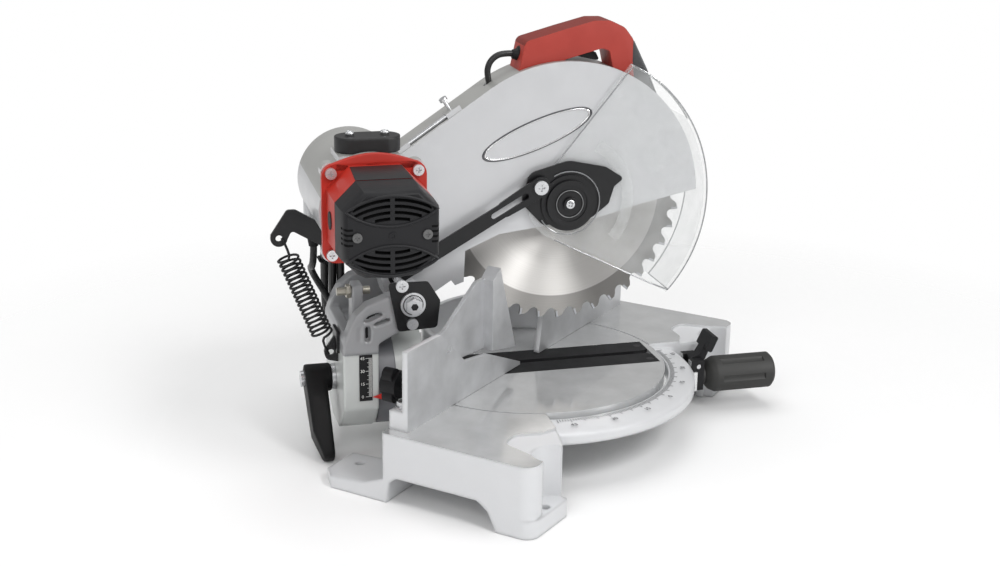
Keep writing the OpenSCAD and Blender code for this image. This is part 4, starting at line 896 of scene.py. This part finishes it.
def flat_plate(name, outline, holes, low, high, finish):
    """Plate of the cap with holes, drawn in the head's (y, z) plane, between two x positions."""
    data = bpy.data.curves.new(name, "CURVE")
    data.dimensions = "2D"
    data.fill_mode = "BOTH"
    data.extrude = (high - low) / 2 * MM
    for loop in [outline, *holes]:
        line = data.splines.new("POLY")
        line.points.add(len(loop) - 1)
        for q, (a, b) in zip(line.points, loop):
            q.co = (a * MM, b * MM, 0, 1)
        line.use_cyclic_u = True
    source = bpy.data.objects.new(name + "_curve", data)
    mesh = bpy.data.meshes.new_from_object(source)
    bpy.data.objects.remove(source)
    verts = [head((low + high) / 2 + v.co.z / MM, v.co.x / MM, v.co.y / MM) for v in mesh.vertices]
    faces = [tuple(poly.vertices) for poly in mesh.polygons]
    bpy.data.meshes.remove(mesh)
    add_piece(name, (verts, faces), "head", "cap_plastic", finish)


def cap_outline(w, h, c, bowed=1.0):
    """Octagon whose lower edge is bowed, more or less."""
    low = []
    for k in range(13):
        a = -w + 2 * w * k / 12
        flat = max(-h, -h + c - (w - abs(a)))
        low.append((a, flat + bowed * (-h + 1.15 * c * (1 - math.sin(math.pi * k / 12) ** 0.8) - flat)))
    pts = [(w, h - c), (w - c, h), (-w + c, h), (-w, h - c)]
    return [(MOTOR_Y + a, MOTOR_Z + b) for a, b in pts + low]


def cap_slots():
    """Arcs that follow the outer edge of each lens and stop at its inner one."""
    rib, width, pitch, arc_r = 1.9, 2.9, 5.4, 74
    slots = []
    for side in (1, -1):
        for row, reach in enumerate((33.5, 32.5, 25.0, 15.0)):
            span = [rib + (reach - rib) * k / 12 for k in range(13)]
            for wing in (1, -1):
                upper, lower = ([(wing * a, 23.5 + 13 - drop - (arc_r - math.sqrt(arc_r * arc_r - a * a)))
                                 for a in span] for drop in (2.6 + pitch * row, 2.6 + pitch * row + width))
                slots.append([(MOTOR_Y + a, MOTOR_Z + side * (b - 1.5)) for a, b in upper + lower[::-1]])
    return slots


def make_motor_cap():
    front = -198.0
    sections = [(-162.6, 43, 40, 18, 0.02), (-186, 42, 39.2, 17.5, 0.02), (-192, 41, 38.4, 17, 0.5),
                (-195.8, 39.6, 36.8, 16.4, 1.0), (-197.4, 38.4, 35.4, 16, 1.0), (front, 37.6, 34.6, 15.8, 1.0)]
    loops = [[head(x, a, b) for a, b in cap_outline(*shape)] for x, *shape in sections]
    shell = [p for loop in loops for p in loop], rings(len(loops), len(loops[0]), "open")
    add_piece("cap_shell", shell, "head", "cap_plastic", stands_for=["motor_cap"])
    flat_plate("cap_front", cap_outline(37.8, 34.8, 15.8), cap_slots(), front, front + 3.5, "cap_plastic")
    # A near-black sheet behind the slotted front: painted shade in place of the dark inside
    flat_plate("cap_inside_shade", cap_outline(38.6, 36.0, 15.8), [], front + 3.8, front + 4.6, "cap_inside_shade")
    # Four slits on each side round the corner of the cap, drawn as blocks in the near-black of painted shade
    slits = []
    for wing in (1, -1):
        for z in (-6.6, -2.2, 2.2, 6.6):
            verts = []
            for x, reach in ((-198.15, 38.0), (-195.8, 39.9), (-188.0, 42.0)):
                section = rectangle(wing * 33.5, z - 0.9, wing * reach, z + 0.9)
                verts += [head(x, MOTOR_Y + a, MOTOR_Z + b) for a, b in section]
            slits.append((verts, rings(3, 4)))
    add_piece("cap_slits", gather(slits), "head", "cap_plastic", "cap_inside_shade", smooth=False)
    for name, side in (("cap_rim_upper", 1), ("cap_rim_lower", -1)):
        line = [head(front - 0.2, MOTOR_Y + a, MOTOR_Z + side * (22.0 + b)) for a, b in lens(39.0, 12.6, 13.6)]
        add_wire(name, line, 1.25, "head", "cap_plastic", closed=True)
    verts, faces = turned([(-197.9, 3.4), (-198.5, 3.2), (-198.5, 1.8), (-197.95, 1.6)], 24,
                          lambda x, a, b: head(x, MOTOR_Y + a, MOTOR_Z + b), "open")
    bottom = tuple(range(len(verts) - 24, len(verts)))
    add_piece("cap_dimple", (verts, faces + [bottom]), "head", "cap_plastic")

    # Arched top of the housing flange, and the bare dark panel behind the cap
    arch = [(MOTOR_Y + 41 * a / 12, MOTOR_Z + 43.5 + 9.5 * math.cos(math.pi / 2 * a / 12)) for a in range(-12, 13)]
    arch += [(MOTOR_Y + 36, MOTOR_Z + 38), (MOTOR_Y - 36, MOTOR_Z + 38)]
    add_piece("flange_arch", prism(arch, -118.0, -112.0), "head", "motor_red", edge=1.0)
    panel = prism([(-123, 201), (-123, 155), (-162.4, 153), (-162.4, 203)], 0.0, 0.5,
                  lambda x, y, t: head(x, y, MOTOR_Z + 43.2 - 3 * (-118 - x) / 44 + t))
    add_piece("housing_panel", panel, "head", "scale_plate", edge=0.2)


make_motor_cap()


# Bright screw heads on dark covers

def add_screw(name, centre, along, r, height):
    """Pan head screw with a cross recess, standing on centre and facing along."""
    along = Vector(along).normalized()
    side = along.orthogonal().normalized()
    up = along.cross(side)
    rows = [(1.0, 0.0), (1.0, 0.45), (0.9, 0.75), (0.65, 0.93), (0.42, 1.0), (0.3, 0.7)]
    n = 24
    verts = []
    for f, h in rows:
        for i in range(n):
            t = 2 * math.pi * i / n
            k = f * r * (1.0 if f > 0.5 else 1.0 + 0.35 * math.cos(4 * t))
            verts.append(centre + (side * math.cos(t) + up * math.sin(t)) * k * MM + along * height * h * MM)
    add_piece(name, (verts, rings(len(rows), n)), "head", "zinc_steel")


add_screw("terminal_screw_0", head(-72, 160, 326.8), UP, 3.9, 2.4)
add_screw("terminal_screw_1", head(-72, 192, 326.8), UP, 3.9, 2.4)
add_screw("hub_screw", head(-35.2, BLADE_Y, BLADE_Z), LEFTWARD, 5.4, 2.8)


# Bevel joint: collar of the boss in the holder's grey darkened by painted shade, and the red pointer over the scale

def make_bevel_joint():
    profile = [(145.4, 48.4), (145.4, 50.0), (146.2, 50.8), (163.0, 50.8), (163.0, 48.4)]
    steps = 64
    verts = []
    for k in range(steps + 1):
        t = math.radians(-52 + 190 * k / steps)
        verts += [head(-r * math.cos(t), y, BEVEL_Z + r * math.sin(t)) for y, r in profile]
    add_piece("boss_collar", (verts, rings(steps + 1, len(profile))), "turntable", "base_paint", "boss_paint")
    needle = [(171.0, 65.5), (163, 68.0), (156.5, 69.5), (156.5, 61.5), (163, 63.0)]
    add_piece("pointer_needle", prism(needle, -57.9, -57.0), "turntable", "pointer_red", None, ["bevel_pointer"],
              edge=0.2)
    foot = [(157.4, 69.2), (156.5, 69.5), (156.5, 61.5), (157.4, 61.8)]
    add_piece("pointer_foot", prism(foot, -57.5, -49.5), "turntable", "pointer_red", edge=0.2)


make_bevel_joint()


# Socket and groove of the chop pivot in near-black as painted shade, and a line on the hub

def make_pivot_lines():
    socket = prism([(PIVOT_Y + a, PIVOT_Z + b) for a, b in circle(3.7, 6)], -71.1, -70.4)
    add_piece("pivot_socket", socket, "arm_holder", "zinc_steel", "slot_dark", edge=0.1)
    groove = [head(-64.0, PIVOT_Y + a, PIVOT_Z + b) for a, b in circle(9.4, 64)]
    add_wire("pivot_groove", groove, 0.5, "arm_holder", "zinc_steel", "slot_dark", closed=True)
    line = [head(-35.0, BLADE_Y + a, BLADE_Z + b) for a, b in circle(13.5, 64)]
    add_wire("hub_line", line, 0.45, "head", "black_plastic", "hub_line", closed=True)


make_pivot_lines()


# Clear guard: rounded edges drawn in grey as painted shade, narrow lip over the handle and a moulded ring

def make_guard_edges():
    rim, start, lip_end, stop = 146.6, 115.5, 148, 221.6
    near_x, lip_x, far_x = -26.9, -18.6, 29.6

    def arc(radius, low, high, x, n):
        angles = [math.radians(low + (high - low) * k / n) for k in range(n + 1)]
        return [head(x, BLADE_Y + radius * math.cos(a), BLADE_Z + radius * math.sin(a)) for a in angles]

    near = [head(near_x, BLADE_Y + 14, BLADE_Z + 37)] + arc(rim, start, stop, near_x, 64)
    near += [head(near_x, BLADE_Y - 88, BLADE_Z - 88), head(near_x, BLADE_Y + 12, BLADE_Z - 38)]
    end = [arc(rim, stop - 0.2, stop, x, 1)[0] for x in (-27, 0, far_x)]
    for name, path, radius in (
            ("near", near, 0.75), ("hub", arc(31.5, 60, 330, -31.6, 64), 0.6),
            ("far", arc(rim, lip_end, stop, far_x, 48), 0.7), ("end", end, 0.7),
            ("lip", arc(rim, start, lip_end, lip_x, 24), 0.6)):
        add_wire("guard_edge_" + name, path, radius, "lower_guard", "clear_plastic", "clear_edge_shade")
    lip = bar(*(arc(r, start, lip_end, x, 24)
                for r, x in ((rim - 1.2, -26), (rim - 1.2, lip_x), (rim, lip_x), (rim, -26))))
    add_piece("guard_lip", lip, "lower_guard", "clear_plastic")
    ring = bar(*(arc(r, 118, 219, x, 40) for r, x in ((56, -27.4), (68, -27.4), (68, near_x), (56, near_x))))
    add_piece("guard_ring", ring, "lower_guard", "clear_plastic")


make_guard_edges()


# Floor, backdrop and light

def make_floor():
    reach = 6.0
    data = bpy.data.meshes.new("floor")
    data.from_pydata([(x, y, 0) for x, y in rectangle(-reach, -reach, reach, reach)], [], [(0, 1, 2, 3)])
    floor = bpy.data.objects.new("floor", data)
    scene.collection.objects.link(floor)
    floor.location.z = -0.0004
    mat, tree, shader = new_material("floor")
    tree.links.new(mix(tree, noise(tree, 3.0), (0.93, 0.93, 0.93), (0.96, 0.96, 0.96)), shader.inputs["Base Color"])
    tree.links.new(ramp(tree, noise(tree, 5.0), 0.85, 0.95), shader.inputs["Roughness"])
    shader.inputs["Specular IOR Level"].default_value = 0.1
    # Away from the object the camera sees the white backdrop instead
    fade = ramp(tree, length_of(tree, coords(tree)), 0, 1, 0.4, 0.85)
    seen = tree.nodes.new("ShaderNodeLightPath").outputs["Is Camera Ray"]
    both = add_node(tree, "ShaderNodeMath", {0: fade, 1: seen}, operation="MULTIPLY")
    clear = tree.nodes.new("ShaderNodeBsdfTransparent")
    mix_shaders(tree, both.outputs["Value"], shader, clear, "Material Output")
    data.materials.append(mat)


def make_world():
    world = bpy.data.worlds.new("world")
    scene.world = world
    world.use_nodes = True
    tree = world.node_tree
    light = tree.nodes["Background"]
    light.inputs["Color"].default_value = (1, 1, 1, 1)
    light.inputs["Strength"].default_value = 0.4
    white = add_node(tree, "ShaderNodeBackground", {"Color": (1, 1, 1, 1), "Strength": 1.0})
    path = tree.nodes.new("ShaderNodeLightPath").outputs
    either = add_node(tree, "ShaderNodeMath", {0: path["Is Camera Ray"], 1: path["Is Transmission Ray"]},
                      operation="MAXIMUM")
    mix_shaders(tree, either.outputs["Value"], light, white, "World Output")


def lamp(name, place, aim, size, power):
    data = bpy.data.lights.new(name, "AREA")
    data.shape = "RECTANGLE"
    data.size, data.size_y = size
    data.energy = power
    obj = bpy.data.objects.new(name, data)
    scene.collection.objects.link(obj)
    obj.location = place
    obj.rotation_euler = (Vector(aim) - Vector(place)).to_track_quat("-Z", "Y").to_euler()
    return obj


make_floor()
make_world()
lamp("key", (-0.62, -1.7, 1.9), (0, 0, 0.2), (0.7, 0.9), 24)
lamp("left", (-1.9, -0.5, 1.3), (0, 0, 0.2), (1.2, 1.0), 11)
lamp("top", (0.2, 0.3, 2.4), (0, 0, 0.1), (2.0, 2.0), 23)
# Only for the streak on the ground blade
lamp("shine", (0.06, -2.03, 1.05), (0.02, 0, 0.24), (0.5, 0.5), 32).visible_diffuse = False
lamp("rear", (-1.2, 1.9, 1.2), (0, 0, 0.2), (1.2, 1.0), 6)
